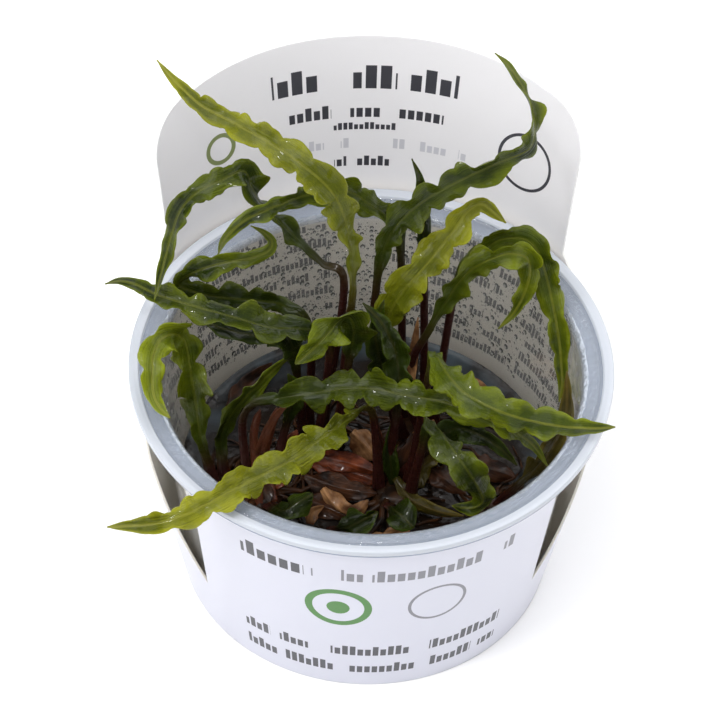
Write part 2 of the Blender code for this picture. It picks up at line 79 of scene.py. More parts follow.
def pick_faces(piece, wanted):
    """Go to edit mode with just those faces selected for which wanted(face) is true."""
    bpy.ops.object.mode_set(mode='EDIT')
    bpy.ops.mesh.select_mode(type='FACE')
    bpy.ops.mesh.select_all(action='DESELECT')
    edit = bmesh.from_edit_mesh(piece.data)
    for face in edit.faces:
        face.select_set(wanted(face))
    bmesh.update_edit_mesh(piece.data)


def close_up(merge=1e-6, angle=None):
    """Merge the seam, fill what is open, point all faces out and shade smooth."""
    bpy.ops.object.mode_set(mode='EDIT')
    bpy.ops.mesh.select_all(action='SELECT')
    bpy.ops.mesh.remove_doubles(threshold=merge)
    bpy.ops.mesh.select_all(action='SELECT')
    bpy.ops.mesh.fill_holes(sides=0)
    bpy.ops.mesh.select_all(action='SELECT')
    bpy.ops.mesh.normals_make_consistent(inside=False)
    bpy.ops.object.mode_set(mode='OBJECT')
    if angle is None:
        bpy.ops.object.shade_smooth()
    else:
        bpy.ops.object.shade_smooth_by_angle(angle=math.radians(angle))


def stand_for(piece, node, materials):
    """Give the piece its materials, and let it stand for its measured node."""
    while len(piece.data.materials) < len(materials):
        piece.data.materials.append(None)
    for number, material in enumerate(materials):
        piece.data.materials[number] = material
    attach(piece, "root")
    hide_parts(node)
    print(piece.name, len(piece.data.polygons), "faces")


# %% [markdown]
# Colours are written as the hex values that a colour picker shows. Blender reckons with
# light, so one function turns them to linear values. One more function adds a node with
# its settings, values and links, and a third starts a Principled material.


# %% Helpers for materials
def srgb(text):
    """A hex colour as linear red, green, blue and alpha."""
    values = [int(text[i:i + 2], 16) / 255.0 for i in (1, 3, 5)]
    linear = [v / 12.92 if v <= 0.04045 else ((v + 0.055) / 1.055) ** 2.4 for v in values]
    return (*linear, 1.0)


def add_node(tree, kind, settings=None, inputs=None):
    """Add a node; an input is given a value, or the socket that feeds it."""
    node = tree.nodes.new(kind)
    for key, value in (settings or {}).items():
        setattr(node, key, value)
    for key, value in (inputs or {}).items():
        if isinstance(value, bpy.types.NodeSocket):
            tree.links.new(value, node.inputs[key])
        else:
            node.inputs[key].default_value = value
    return node


def new_finish(name, **values):
    """A Principled material; values are its sockets' names with spaces as underscores."""
    material = bpy.data.materials.new(name)
    material.use_nodes = True
    tree = material.node_tree
    shader = tree.nodes["Principled BSDF"]
    for key, value in values.items():
        shader.inputs[key.replace("_", " ")].default_value = value
    return material, tree, shader


# Sockets of the Mix node when it mixes colours
MIX_SHARE, MIX_FIRST, MIX_SECOND, MIX_OUT = 0, 6, 7, 2

# %% [markdown]
# ## Camera, floor and light
#
# The view looks down at 48.5 degrees from the front, from 0.8 m away, with a long lens,
# and leans by two degrees. The same sight lines also place the leaves further down. The
# floor is plain and pale, and a large soft lamp above, with a weaker one on each side,
# gives the soft white light of a product picture.

# %% Sight lines
VIEW_TILT = math.radians(48.5)
VIEW_ROLL = math.radians(2.1)
VIEW_DISTANCE = 800.0
VIEW_AIM = Vector((-2.4, 0.0, 58.0))
VIEW_FOCUS = 3891.0
VIEW_MIDDLE = 360.0
FILM_WIDTH = 36.0
FORWARD = Vector((0.0, math.cos(VIEW_TILT), -math.sin(VIEW_TILT)))
LEVEL = Vector((1.0, 0.0, 0.0))
UPWARD = Vector((0.0, math.sin(VIEW_TILT), math.cos(VIEW_TILT)))
RIGHT = LEVEL * math.cos(VIEW_ROLL) + UPWARD * math.sin(VIEW_ROLL)
TOP = UPWARD * math.cos(VIEW_ROLL) - LEVEL * math.sin(VIEW_ROLL)
EYE = VIEW_AIM - FORWARD * VIEW_DISTANCE

start_clean()
bpy.ops.object.camera_add()
camera = bpy.context.object
camera.name = "camera"
camera.matrix_world = Matrix.Translation(EYE * MM) @ Matrix((RIGHT, TOP, -FORWARD)).transposed().to_4x4()
camera.data.sensor_width = FILM_WIDTH
camera.data.lens = VIEW_FOCUS * FILM_WIDTH / (2.0 * VIEW_MIDDLE)
camera.data.clip_start = 0.01
bpy.context.scene.camera = camera
print("lens", round(camera.data.lens, 1), "mm")


# %% Lamps and floor
def add_lamp(name, place, size, power):
    """A square soft lamp that faces the plant."""
    bpy.ops.object.light_add(type='AREA', location=place)
    lamp = bpy.context.object
    lamp.name = name
    lamp.data.size = size
    lamp.data.energy = power
    lamp.rotation_euler = (Vector((0.0, 0.0, 0.05)) - Vector(place)).to_track_quat('-Z', 'Y').to_euler()
    return lamp


add_lamp("lamp_above", (-0.10, 0.25, 1.20), 1.3, 6.0)
add_lamp("lamp_left", (-0.90, -0.30, 0.75), 0.9, 5.0)
add_lamp("lamp_right", (0.95, -0.25, 0.80), 0.9, 3.5)
add_lamp("lamp_front", (-0.50, -0.70, 1.15), 1.2, 8.5)
add_lamp("lamp_behind", (0.60, 0.70, 0.85), 0.8, 4.0)
add_lamp("lamp_spark", (-0.25, -0.35, 1.10), 0.1, 2.2)

ROOM_LIGHT = 0.50
world = bpy.data.worlds.new("white room")
bpy.context.scene.world = world
world.use_nodes = True
world.node_tree.nodes["Background"].inputs["Color"].default_value = srgb("#ffffff")
world.node_tree.nodes["Background"].inputs["Strength"].default_value = ROOM_LIGHT
bpy.context.scene.view_settings.view_transform = 'Standard'

start_clean()
bpy.ops.mesh.primitive_plane_add(size=6.0, location=(0.0, 0.0, -0.0002))
floor = name_piece("floor")
floor_finish, floor_tree, floor_shader = new_finish("pale paper floor", Roughness=0.9)
floor_shader.inputs["Base Color"].default_value = srgb("#f6f6f6")
floor.data.materials.append(floor_finish)
print("six lamps and a floor")

# %% [markdown]
# ## The cup
#
# The cup is moulded of clear polypropylene, 0.7 mm thick. It tapers to its foot, and its
# mouth has a broad flange with fine rings and a small lip, to which a lid was sealed. A
# lathe profile is drawn from radii and heights. Here the cup is raised as by hand: a low
# cylinder's top face is extruded and scaled, ring by ring, up the outside, over the
# flange and down the inside to the floor. That gives clean rings that can be changed one
# by one.

# %% Measures of the cup
CUP_SEGMENTS = 144
CUP_BASE_RADIUS = 38.4
CUP_BASE_EDGE = 1.2
CUP_NECK_RADIUS = 44.2
CUP_NECK_HEIGHT = 54.6
CUP_WALL = 0.7
CUP_FLOOR = 1.2
FLANGE_RADIUS = 50.0
FLANGE_UNDERSIDE = 55.4
FLANGE_LIP_HEIGHT = 57.2
FLANGE_SLOPE_DROP = 0.7
FLANGE_INNER_RADIUS = 45.8
FLANGE_STEP_IN = 0.08
FLANGE_STEP_HEIGHT = 0.55
SEAT_RADIUS = 47.7
SEAT_GROOVE_DEPTH = 0.4
SEAT_GROOVE_HALF_WIDTH = 0.2
FLANGE_STEPS = 36
FLANGE_RINGS = 1
RING_HEIGHT = 0.16


def cup_inside(height):
    """Radius of the cup's inner wall at a height."""
    slope = (CUP_NECK_RADIUS - CUP_BASE_RADIUS) / CUP_NECK_HEIGHT
    return CUP_BASE_RADIUS + slope * height - CUP_WALL


def rounded(start, corner, end, steps=4):
    """Points of (radius, height) on a round corner between start and end."""
    points = []
    for i in range(steps + 1):
        t = i / steps
        weights = ((1 - t) ** 2, 2 * t * (1 - t), t ** 2)
        points.append(tuple(sum(w * p[k] for w, p in zip(weights, (start, corner, end))) for k in (0, 1)))
    return points


# %% Raise a turned piece
def turn_up(name, profile, segments, angle=30.0):
    """Extrude and scale the top face of a low cylinder along a profile of (radius, height)."""
    start_clean()
    (radius, height), (next_radius, next_height) = profile[:2]
    bpy.ops.mesh.primitive_cylinder_add(
        vertices=segments, radius=radius * MM, depth=(next_height - height) * MM, end_fill_type='NGON',
        location=(0.0, 0.0, (height + next_height) / 2.0 * MM))
    piece = name_piece(name)
    pick_faces(piece, lambda face: face.normal.z > 0.9)
    grow = next_radius / radius
    bpy.ops.transform.resize(value=(grow, grow, 1.0), center_override=(0.0, 0.0, 0.0))
    for (radius, height), (next_radius, next_height) in zip(profile[1:], profile[2:]):
        bpy.ops.mesh.extrude_region_move(
            TRANSFORM_OT_translate={"value": (0.0, 0.0, (next_height - height) * MM)})
        grow = next_radius / radius
        bpy.ops.transform.resize(value=(grow, grow, 1.0), center_override=(0.0, 0.0, 0.0))
    close_up(angle=angle)
    return piece


# %% The cup's profile
def flange_top():
    """The flange from its lip inwards: a flat band, then fine rings on the seat of the lid."""
    points = []
    outer = FLANGE_RADIUS - CUP_WALL - 0.3
    inner = FLANGE_INNER_RADIUS + 0.5
    for i in range(FLANGE_STEPS + 1):
        share = i / FLANGE_STEPS
        radius = outer + (inner - outer) * share
        ring = 0.0
        if radius < SEAT_RADIUS:
            turns = FLANGE_RINGS * (SEAT_RADIUS - radius) / (SEAT_RADIUS - inner)
            ring = RING_HEIGHT * (math.cos(2.0 * math.pi * turns) - 1.0)
        groove = SEAT_GROOVE_DEPTH * math.exp(-((radius - SEAT_RADIUS) / SEAT_GROOVE_HALF_WIDTH) ** 2)
        points.append((radius, FLANGE_LIP_HEIGHT - FLANGE_SLOPE_DROP * share + ring - groove))
    return points


cup_profile = (
    rounded((CUP_BASE_RADIUS - CUP_BASE_EDGE, 0.0), (CUP_BASE_RADIUS - 0.3, 0.2),
            (CUP_BASE_RADIUS, CUP_BASE_EDGE))
    + [(CUP_BASE_RADIUS + (CUP_NECK_RADIUS - CUP_BASE_RADIUS) * t / 4.0, CUP_NECK_HEIGHT * t / 4.0)
       for t in range(1, 4)]
    + rounded((CUP_NECK_RADIUS, CUP_NECK_HEIGHT), (CUP_NECK_RADIUS, FLANGE_UNDERSIDE),
              (CUP_NECK_RADIUS + CUP_WALL, FLANGE_UNDERSIDE))
    + rounded((FLANGE_RADIUS - FLANGE_STEP_IN - 0.3, FLANGE_UNDERSIDE),
              (FLANGE_RADIUS - FLANGE_STEP_IN, FLANGE_UNDERSIDE),
              (FLANGE_RADIUS - FLANGE_STEP_IN, FLANGE_UNDERSIDE + 0.3))
    + rounded((FLANGE_RADIUS - FLANGE_STEP_IN + 0.05, FLANGE_UNDERSIDE + FLANGE_STEP_HEIGHT),
              (FLANGE_RADIUS, FLANGE_UNDERSIDE + FLANGE_STEP_HEIGHT),
              (FLANGE_RADIUS, FLANGE_UNDERSIDE + FLANGE_STEP_HEIGHT + 0.3))
    + rounded((FLANGE_RADIUS, FLANGE_LIP_HEIGHT - 0.3), (FLANGE_RADIUS, FLANGE_LIP_HEIGHT),
              (FLANGE_RADIUS - 0.3, FLANGE_LIP_HEIGHT))
    + flange_top()
    + rounded((FLANGE_INNER_RADIUS, FLANGE_LIP_HEIGHT - FLANGE_SLOPE_DROP),
              (cup_inside(CUP_NECK_HEIGHT) + 0.3, FLANGE_LIP_HEIGHT - FLANGE_SLOPE_DROP),
              (cup_inside(CUP_NECK_HEIGHT), CUP_NECK_HEIGHT))
    + [(cup_inside(CUP_NECK_HEIGHT * t / 6.0), CUP_NECK_HEIGHT * t / 6.0) for t in range(5, 0, -1)]
    + rounded((cup_inside(CUP_FLOOR + 0.6), CUP_FLOOR + 0.6), (cup_inside(CUP_FLOOR), CUP_FLOOR),
              (cup_inside(CUP_FLOOR) - 0.6, CUP_FLOOR))
)
cup = turn_up("clear_cup", cup_profile, CUP_SEGMENTS)

# %% [markdown]
# The finish is clear polypropylene: it lets light through plainly, bends it by 1.49, and
# has a smooth skin with the faint waviness of a thin moulding. Such plastic is a little
# milky. The wall is thin and only softly veiled. The broad flange looks nearly white,
# and its inner part, where the lid was sealed, is rough and greyer. The bottom of the
# flange's skirt is dark grey-blue, a painted shadow line under the flange. So four
# finishes share the cup, picked by height and radius.


# %% Clear polypropylene
def polypropylene(name, clearness, roughness, color, grain, depth):
    """Moulded polypropylene: clearness is the share of light that goes straight through."""
    material, tree, shader = new_finish(
        name, Roughness=roughness, IOR=1.49, Transmission_Weight=clearness)
    shader.inputs["Base Color"].default_value = srgb(color)
    place = add_node(tree, 'ShaderNodeTexCoord').outputs["Object"]
    waves = add_node(tree, 'ShaderNodeTexNoise', inputs={"Vector": place, "Scale": grain, "Detail": 2.0})
    bump = add_node(tree, 'ShaderNodeBump',
                    inputs={"Strength": 0.15, "Distance": depth, "Height": waves.outputs[0]})
    tree.links.new(bump.outputs[0], shader.inputs["Normal"])
    return material


CUP_FINISH_ZONES = (
    # slot, lowest height, inner and outer radius
    (1, CUP_NECK_HEIGHT + 0.3, SEAT_RADIUS, FLANGE_RADIUS + 1.0),
    (2, CUP_NECK_HEIGHT + 0.3, CUP_NECK_RADIUS - 0.6, SEAT_RADIUS),
)
for slot_number in range(4):
    cup.data.materials.append(None)
for slot_number, lowest, inner, outer in CUP_FINISH_ZONES:
    pick_faces(cup, lambda face: face.calc_center_median().z > lowest * MM
               and inner * MM < face.calc_center_median().xy.length < outer * MM)
    cup.active_material_index = slot_number
    bpy.ops.object.material_slot_assign()
    bpy.ops.object.mode_set(mode='OBJECT')
# Slot 3, the bottom of the flange's skirt, gets a dark grey-blue finish: a painted shadow line under the flange.
for slot_number in (3,):
    pick_faces(cup, lambda face: face.calc_center_median().xy.length > (CUP_NECK_RADIUS + 1.5) * MM
               and face.calc_center_median().z < (FLANGE_UNDERSIDE + FLANGE_STEP_HEIGHT + 0.05) * MM)
    cup.active_material_index = slot_number
    bpy.ops.object.material_slot_assign()
    bpy.ops.object.mode_set(mode='OBJECT')
stand_for(cup, "cup", [
    polypropylene("clear polypropylene wall", 0.87, 0.04, "#f6f5f2", 70.0, 0.0004),
    polypropylene("milky polypropylene flange", 0.3, 0.2, "#d3d8e1", 70.0, 0.0002),
    polypropylene("sealed polypropylene lip", 0.75, 0.1, "#d6deea", 900.0, 0.03),
    polypropylene("polypropylene edge painted with shadow line", 0.2, 0.15, "#7f8ba0", 70.0, 0.0002),
])

# %% [markdown]
# ## The gel
#
# The plantlets stand in 20 mm of clear nutrient gel, full of dark roots and of rotting
# matter. Among the crowns its colour goes dark brown, for the roots there and as painted
# shade. It creeps a little up the wall. It is turned like the cup, with rings on its
# top, and the top's points are then moved up and down a little.

# %% The gel's shape
GEL_LEVEL = 21.5
GAP = 0.3
GEL_RINGS = 24
gel_foot = CUP_FLOOR + GAP
gel_radius = cup_inside(GEL_LEVEL) - GAP
gel_profile = [(cup_inside(gel_foot) - GAP, gel_foot), (gel_radius, GEL_LEVEL + 0.7)]
gel_profile += rounded((gel_radius - 0.15, GEL_LEVEL + 0.7), (gel_radius - 0.5, GEL_LEVEL),
                       (gel_radius - 2.2, GEL_LEVEL))
gel_profile += [((gel_radius - 2.2) * (1.0 - t / GEL_RINGS) + 0.4, GEL_LEVEL) for t in range(1, GEL_RINGS)]
gel = turn_up("nutrient_gel_layer", gel_profile, 96, angle=60.0)
for point in gel.data.vertices:
    spread = point.co.to_2d().length / MM
    if point.co.z / MM > GEL_LEVEL - 1.0 and spread < gel_radius - 2.0:
        point.co.z += 0.35 * MM * noise.noise(point.co * 160.0)

# %% Gel with dark roots and painted shade in it
gel_finish, tree, shader = new_finish(
    "wet nutrient gel", Roughness=0.12, IOR=1.34, Transmission_Weight=0.15)
place = add_node(tree, 'ShaderNodeTexCoord').outputs["Object"]
roots = add_node(tree, 'ShaderNodeTexNoise', inputs={"Vector": place, "Scale": 90.0, "Detail": 5.0})
dark = add_node(tree, 'ShaderNodeMapRange',
                inputs={"Value": roots.outputs[0], "From Min": 0.40, "From Max": 0.62})
sideways = add_node(tree, 'ShaderNodeVectorMath', {"operation": 'MULTIPLY'}, {0: place, 1: (1.0, 1.0, 0.0)})
outward = add_node(tree, 'ShaderNodeVectorMath', {"operation": 'LENGTH'}, {0: sideways.outputs["Vector"]})
# Towards the middle, among the crowns, the gel turns dark brown: partly for its roots, partly as painted shade.
roots_and_shade_share = add_node(tree, 'ShaderNodeMapRange', {"interpolation_type": 'SMOOTHSTEP'},
                  {"Value": outward.outputs["Value"], "From Min": 0.026, "From Max": 0.040, "To Min": 0.08})
clear_share = add_node(tree, 'ShaderNodeMath', {"operation": 'MULTIPLY'},
                       {0: dark.outputs[0], 1: roots_and_shade_share.outputs[0]})
mix = add_node(tree, 'ShaderNodeMix', {"data_type": 'RGBA'},
               {MIX_SHARE: clear_share.outputs[0], MIX_FIRST: srgb("#1d130b"), MIX_SECOND: srgb("#414d55")})
tree.links.new(mix.outputs[MIX_OUT], shader.inputs["Base Color"])
ripple = add_node(tree, 'ShaderNodeTexNoise', inputs={"Vector": place, "Scale": 220.0, "Detail": 3.0})
bump = add_node(tree, 'ShaderNodeBump',
                inputs={"Strength": 0.5, "Distance": 0.001, "Height": ripple.outputs[0]})
tree.links.new(bump.outputs[0], shader.inputs["Normal"])
stand_for(gel, "nutrient_gel", [gel_finish])

# %% [markdown]
# ## The card sleeve
#
# One piece of coated card is wrapped round the cup. It is low in front, cut away at each
# side, and stands up behind as a panel with round corners. A grid is rolled round the cup
# and each of its columns is drawn up to the card's edge at that angle. Solidify then
# gives the card its thickness, outwards, with a slot each for its inside, its outside
# and its cut edge.

# %% The sleeve's measures and edge
CARD = 0.5
SLEEVE_TURN = 3.4
SLEEVE_BASE_RADIUS = 38.95
SLEEVE_BAND_RADIUS = 46.6
SLEEVE_BAND_HEIGHT = 55.0
SLEEVE_BACK_RADIUS = 51.2
SLEEVE_BACK_HEIGHT = 57.5
SLEEVE_FLARE = 30.0
SLEEVE_WINDOW_TIP = 15.0
BAND_HALF_ANGLE = 55.0
PANEL_FOOT_ANGLE = 126.2
PANEL_SHOULDER_ANGLE = 128.5
PANEL_SHOULDER_HEIGHT = 79.0
PANEL_CORNER_ANGLE = 141.0
PANEL_CORNER_HEIGHT = 91.0
PANEL_TOP_HEIGHT = 93.7
BAND_COLUMNS = 36
WINDOW_COLUMNS = 44
CORNER_COLUMNS = 18
TOP_COLUMNS = 22
SLEEVE_ROWS = 40


def sleeve_radius(degrees, height):
    """Radius of the card: it hugs the cup in front and flares out past the flange behind."""
    band_slope = (SLEEVE_BAND_RADIUS - SLEEVE_BASE_RADIUS) / SLEEVE_BAND_HEIGHT
    back_slope = (SLEEVE_BACK_RADIUS - SLEEVE_BASE_RADIUS) / SLEEVE_BACK_HEIGHT
    flare = min(1.0, max(0.0, (degrees - BAND_HALF_ANGLE) / SLEEVE_FLARE))
    return SLEEVE_BASE_RADIUS + (band_slope + (back_slope - band_slope) * flare) * height


def half_edge():
    """(angle from the front, height) along the card's edge, from the front to the back."""
    edge = [(BAND_HALF_ANGLE * i / BAND_COLUMNS, SLEEVE_BAND_HEIGHT) for i in range(BAND_COLUMNS)]
    for i in range(WINDOW_COLUMNS + 1):
        share = i / WINDOW_COLUMNS
        edge.append((BAND_HALF_ANGLE + (PANEL_FOOT_ANGLE - BAND_HALF_ANGLE) * share,
                     SLEEVE_WINDOW_TIP + (SLEEVE_BACK_HEIGHT - SLEEVE_WINDOW_TIP) * share))
    for i in range(CORNER_COLUMNS + 1):
        turn = 0.5 * math.pi * i / CORNER_COLUMNS
        edge.append((PANEL_CORNER_ANGLE - (PANEL_CORNER_ANGLE - PANEL_SHOULDER_ANGLE) * math.cos(turn),
                     PANEL_SHOULDER_HEIGHT + (PANEL_CORNER_HEIGHT - PANEL_SHOULDER_HEIGHT) * math.sin(turn)))
    for i in range(1, TOP_COLUMNS + 1):
        share = i / TOP_COLUMNS
        edge.append((PANEL_CORNER_ANGLE + (180.0 - PANEL_CORNER_ANGLE) * share,
                     PANEL_TOP_HEIGHT - (PANEL_TOP_HEIGHT - PANEL_CORNER_HEIGHT) * (1.0 - share) ** 3))
    return edge


# %% Roll the card
def grid_places(piece, columns, rows):
    """Column and row of each point of a new grid of size 1."""
    flat = np.empty(len(piece.data.vertices) * 3)
    piece.data.vertices.foreach_get("co", flat)
    flat = flat.reshape(-1, 3)
    column = np.rint((flat[:, 0] + 0.5) * columns).astype(int)
    row = np.rint((flat[:, 1] + 0.5) * rows).astype(int)
    return column, row


half = half_edge()
edge = half + [(360.0 - angle, height) for angle, height in reversed(half[1:-1])] + [(360.0, half[0][1])]
start_clean()
bpy.ops.mesh.primitive_grid_add(x_subdivisions=len(edge) - 1, y_subdivisions=SLEEVE_ROWS, size=1.0)
sleeve = name_piece("wrapped_card")
column, row = grid_places(sleeve, len(edge) - 1, SLEEVE_ROWS)
for point, c, r in zip(sleeve.data.vertices, column, row):
    angle, top_height = edge[c]
    height = top_height * r / SLEEVE_ROWS
    radius = sleeve_radius(min(angle, 360.0 - angle), height)
    turn = math.radians(angle + SLEEVE_TURN)
    point.co = Vector((radius * math.sin(turn), -radius * math.cos(turn), height)) * MM
bpy.ops.object.mode_set(mode='EDIT')
bpy.ops.mesh.select_all(action='SELECT')
bpy.ops.mesh.remove_doubles(threshold=1e-6)
bpy.ops.mesh.normals_make_consistent(inside=False)
bpy.ops.object.mode_set(mode='OBJECT')
outward = sum(face.normal.dot(Vector((face.center.x, face.center.y, 0.0))) for face in sleeve.data.polygons)
if outward < 0.0:
    sleeve.data.flip_normals()
for slot_number in range(3):
    sleeve.data.materials.append(None)
card_wall = sleeve.modifiers.new("card thickness", 'SOLIDIFY')
card_wall.thickness = CARD * MM
card_wall.offset = 1.0
card_wall.use_even_offset = True
card_wall.material_offset = 1
card_wall.material_offset_rim = 2
bpy.ops.object.modifier_apply(modifier=card_wall.name)
bpy.ops.object.shade_smooth_by_angle(angle=math.radians(30))
print("card sleeve rolled", len(sleeve.data.polygons), "faces")

# %% [markdown]
# The card is coated white board. Its print is generic here: plain bars where lines of
# words would be, a green ring and a grey one. The bars are masks in degrees round the
# card and millimetres of height, so that they follow it round. A noise along each line
# breaks it into pieces as long as words, and each piece is a row of plain strokes.


# %% Printed white card
def card_place(tree, from_back):
    """Degrees round the card, from its front or back middle to the viewer's right, and mm of height."""
    parts = add_node(tree, 'ShaderNodeSeparateXYZ',
                     inputs={0: add_node(tree, 'ShaderNodeTexCoord').outputs["Object"]})
    ahead = add_node(tree, 'ShaderNodeMath', {"operation": 'MULTIPLY'},
                     {0: parts.outputs["Y"], 1: 1.0 if from_back else -1.0})
    turn = add_node(tree, 'ShaderNodeMath', {"operation": 'ARCTAN2'}, {0: parts.outputs["X"], 1: ahead.outputs[0]})
    degrees = add_node(tree, 'ShaderNodeMath', {"operation": 'DEGREES'}, {0: turn.outputs[0]})
    centred = add_node(tree, 'ShaderNodeMath', {"operation": 'ADD'},
                       {0: degrees.outputs[0], 1: SLEEVE_TURN if from_back else -SLEEVE_TURN})
    height = add_node(tree, 'ShaderNodeMath', {"operation": 'MULTIPLY'}, {0: parts.outputs["Z"], 1: 1.0 / MM})
    return centred.outputs[0], height.outputs[0]


def within(tree, value, middle, reach):
    """1 where the value is within reach of the middle."""
    return add_node(tree, 'ShaderNodeMath', {"operation": 'COMPARE'},
                    {0: value, 1: middle, 2: reach}).outputs[0]


def times(tree, first, second):
    """The product of two values."""
    return add_node(tree, 'ShaderNodeMath', {"operation": 'MULTIPLY'}, {0: first, 1: second}).outputs[0]


SHORT_STROKE = 0.7
STROKE_INK = 0.74


def printed_lines(tree, degrees, height, left, right, low, high, lines, tall, word, stroke):
    """A mask of printed lines in a box: how many, how tall in mm, and a word's and a stroke's length in degrees."""
    pitch = (high - low) / lines
    raised = add_node(tree, 'ShaderNodeMath', {"operation": 'SUBTRACT'}, {0: height, 1: low}).outputs[0]
    counted = times(tree, raised, 1.0 / pitch)
    number = add_node(tree, 'ShaderNodeMath', {"operation": 'FLOOR'}, {0: counted}).outputs[0]
    strokes = times(tree, degrees, 1.0 / stroke)
    stroke_number = add_node(tree, 'ShaderNodeMath', {"operation": 'FLOOR'}, {0: strokes}).outputs[0]
    cell = add_node(tree, 'ShaderNodeCombineXYZ', inputs={0: stroke_number, 1: number, 2: left + low})
    chance = add_node(tree, 'ShaderNodeTexWhiteNoise', inputs={"Vector": cell.outputs[0]})
    reach = add_node(tree, 'ShaderNodeMapRange', inputs={
        "Value": chance.outputs[0], "From Min": 0.6, "From Max": 0.61,
        "To Min": SHORT_STROKE * tall / pitch, "To Max": tall / pitch})
    part = add_node(tree, 'ShaderNodeMath', {"operation": 'FRACT'}, {0: counted}).outputs[0]
    line = add_node(tree, 'ShaderNodeMath', {"operation": 'LESS_THAN'},
                    {0: part, 1: reach.outputs[0]}).outputs[0]
    spot = add_node(tree, 'ShaderNodeCombineXYZ',
                    inputs={0: times(tree, degrees, 1.0 / word), 1: times(tree, number, 7.7), 2: left + low})
    words = add_node(tree, 'ShaderNodeTexNoise', inputs={"Vector": spot.outputs[0], "Scale": 1.0, "Detail": 0.0})
    word_mask = add_node(tree, 'ShaderNodeMath', {"operation": 'GREATER_THAN'},
                         {0: words.outputs[0], 1: 0.42}).outputs[0]
    box = times(tree, within(tree, degrees, (left + right) / 2.0, (right - left) / 2.0),
                within(tree, height, (low + high) / 2.0, (high - low) / 2.0))
    across = add_node(tree, 'ShaderNodeMath', {"operation": 'FRACT'}, {0: strokes}).outputs[0]
    inked = add_node(tree, 'ShaderNodeMath', {"operation": 'LESS_THAN'}, {0: across, 1: STROKE_INK}).outputs[0]
    return times(tree, times(tree, box, line), times(tree, word_mask, inked))


def printed_ring(tree, degrees, height, middle, up, radius, line, around):
    """A mask of a ring: its place in degrees and mm, its radius and line in mm, on a card of that radius."""
    aside = add_node(tree, 'ShaderNodeMath', {"operation": 'SUBTRACT'}, {0: degrees, 1: middle}).outputs[0]
    aside = times(tree, aside, math.radians(around))
    above = add_node(tree, 'ShaderNodeMath', {"operation": 'SUBTRACT'}, {0: height, 1: up}).outputs[0]
    far = add_node(tree, 'ShaderNodeMath', {"operation": 'SQRT'}, {0: add_node(
        tree, 'ShaderNodeMath', {"operation": 'ADD'},
        {0: times(tree, aside, aside), 1: times(tree, above, above)}).outputs[0]}).outputs[0]
    return within(tree, far, radius, line / 2.0)


def card_finish(name, white, low_white, prints, from_back=False):
    """White coated card, one white below the rim and one above, the lower one painted light on the inside; prints are
    (maker of the mask, values, ink).
    """
    material, tree, shader = new_finish(
        name, Roughness=0.42, Coat_Weight=0.2, Coat_Roughness=0.25, Subsurface_Weight=0.6,
        Subsurface_Scale=0.0006, Subsurface_Radius=(1.0, 1.0, 1.0))
    degrees, height = card_place(tree, from_back)
    # Below the rim the card takes its lower white by height; on the inside that whiter, warmer white is painted light
    # where the cup shades the card.
    raised = add_node(tree, 'ShaderNodeMapRange', {"interpolation_type": 'SMOOTHSTEP'},
                      {"Value": height, "From Min": CUP_NECK_HEIGHT - 4.0, "From Max": FLANGE_LIP_HEIGHT + 4.0})
    color = add_node(tree, 'ShaderNodeMix', {"data_type": 'RGBA'},
                     {MIX_SHARE: raised.outputs[0], MIX_FIRST: srgb(low_white), MIX_SECOND: srgb(white)}
                     ).outputs[MIX_OUT]
    for maker, values, ink in prints:
        mask = maker(tree, degrees, height, *values)
        color = add_node(tree, 'ShaderNodeMix', {"data_type": 'RGBA'},
                         {MIX_SHARE: mask, MIX_FIRST: color, MIX_SECOND: srgb(ink)}).outputs[MIX_OUT]
    fibre = add_node(tree, 'ShaderNodeTexNoise', inputs={
        "Vector": add_node(tree, 'ShaderNodeTexCoord').outputs["Object"], "Scale": 1500.0, "Detail": 3.0})
    bump = add_node(tree, 'ShaderNodeBump',
                    inputs={"Strength": 0.12, "Distance": 0.0001, "Height": fibre.outputs[0]})
    tree.links.new(color, shader.inputs["Base Color"])
    tree.links.new(bump.outputs[0], shader.inputs["Normal"])
    return material


BOLD_INK = "#3b3b42"
GREY_INK = "#77777f"
PALE_INK = "#c4c4ca"
GREEN_INK = "#3f7a2c"
# The outside's white is greyer and bluer than the inside's: painted shade on the card's front.
card_front = card_finish("coated card, printed outside", "#cacbd7", "#cacbd7", [
    (printed_lines, (-37.0, -19.0, 41.5, 47.0, 1, 5.0, 30.0, 3.2), BOLD_INK),
    (printed_lines, (-17.0, 38.0, 41.8, 46.6, 1, 4.2, 9.0, 2.6), GREY_INK),
    (printed_lines, (-39.0, 40.0, 5.0, 19.0, 2, 3.6, 6.0, 2.2), BOLD_INK),
    (printed_ring, (-10.0, 31.0, 6.2, 1.6, 44.0), GREEN_INK),
    (printed_ring, (-10.0, 31.0, 1.2, 2.4, 44.0), GREEN_INK),
    (printed_ring, (17.0, 31.0, 6.0, 0.7, 44.0), GREY_INK),
])
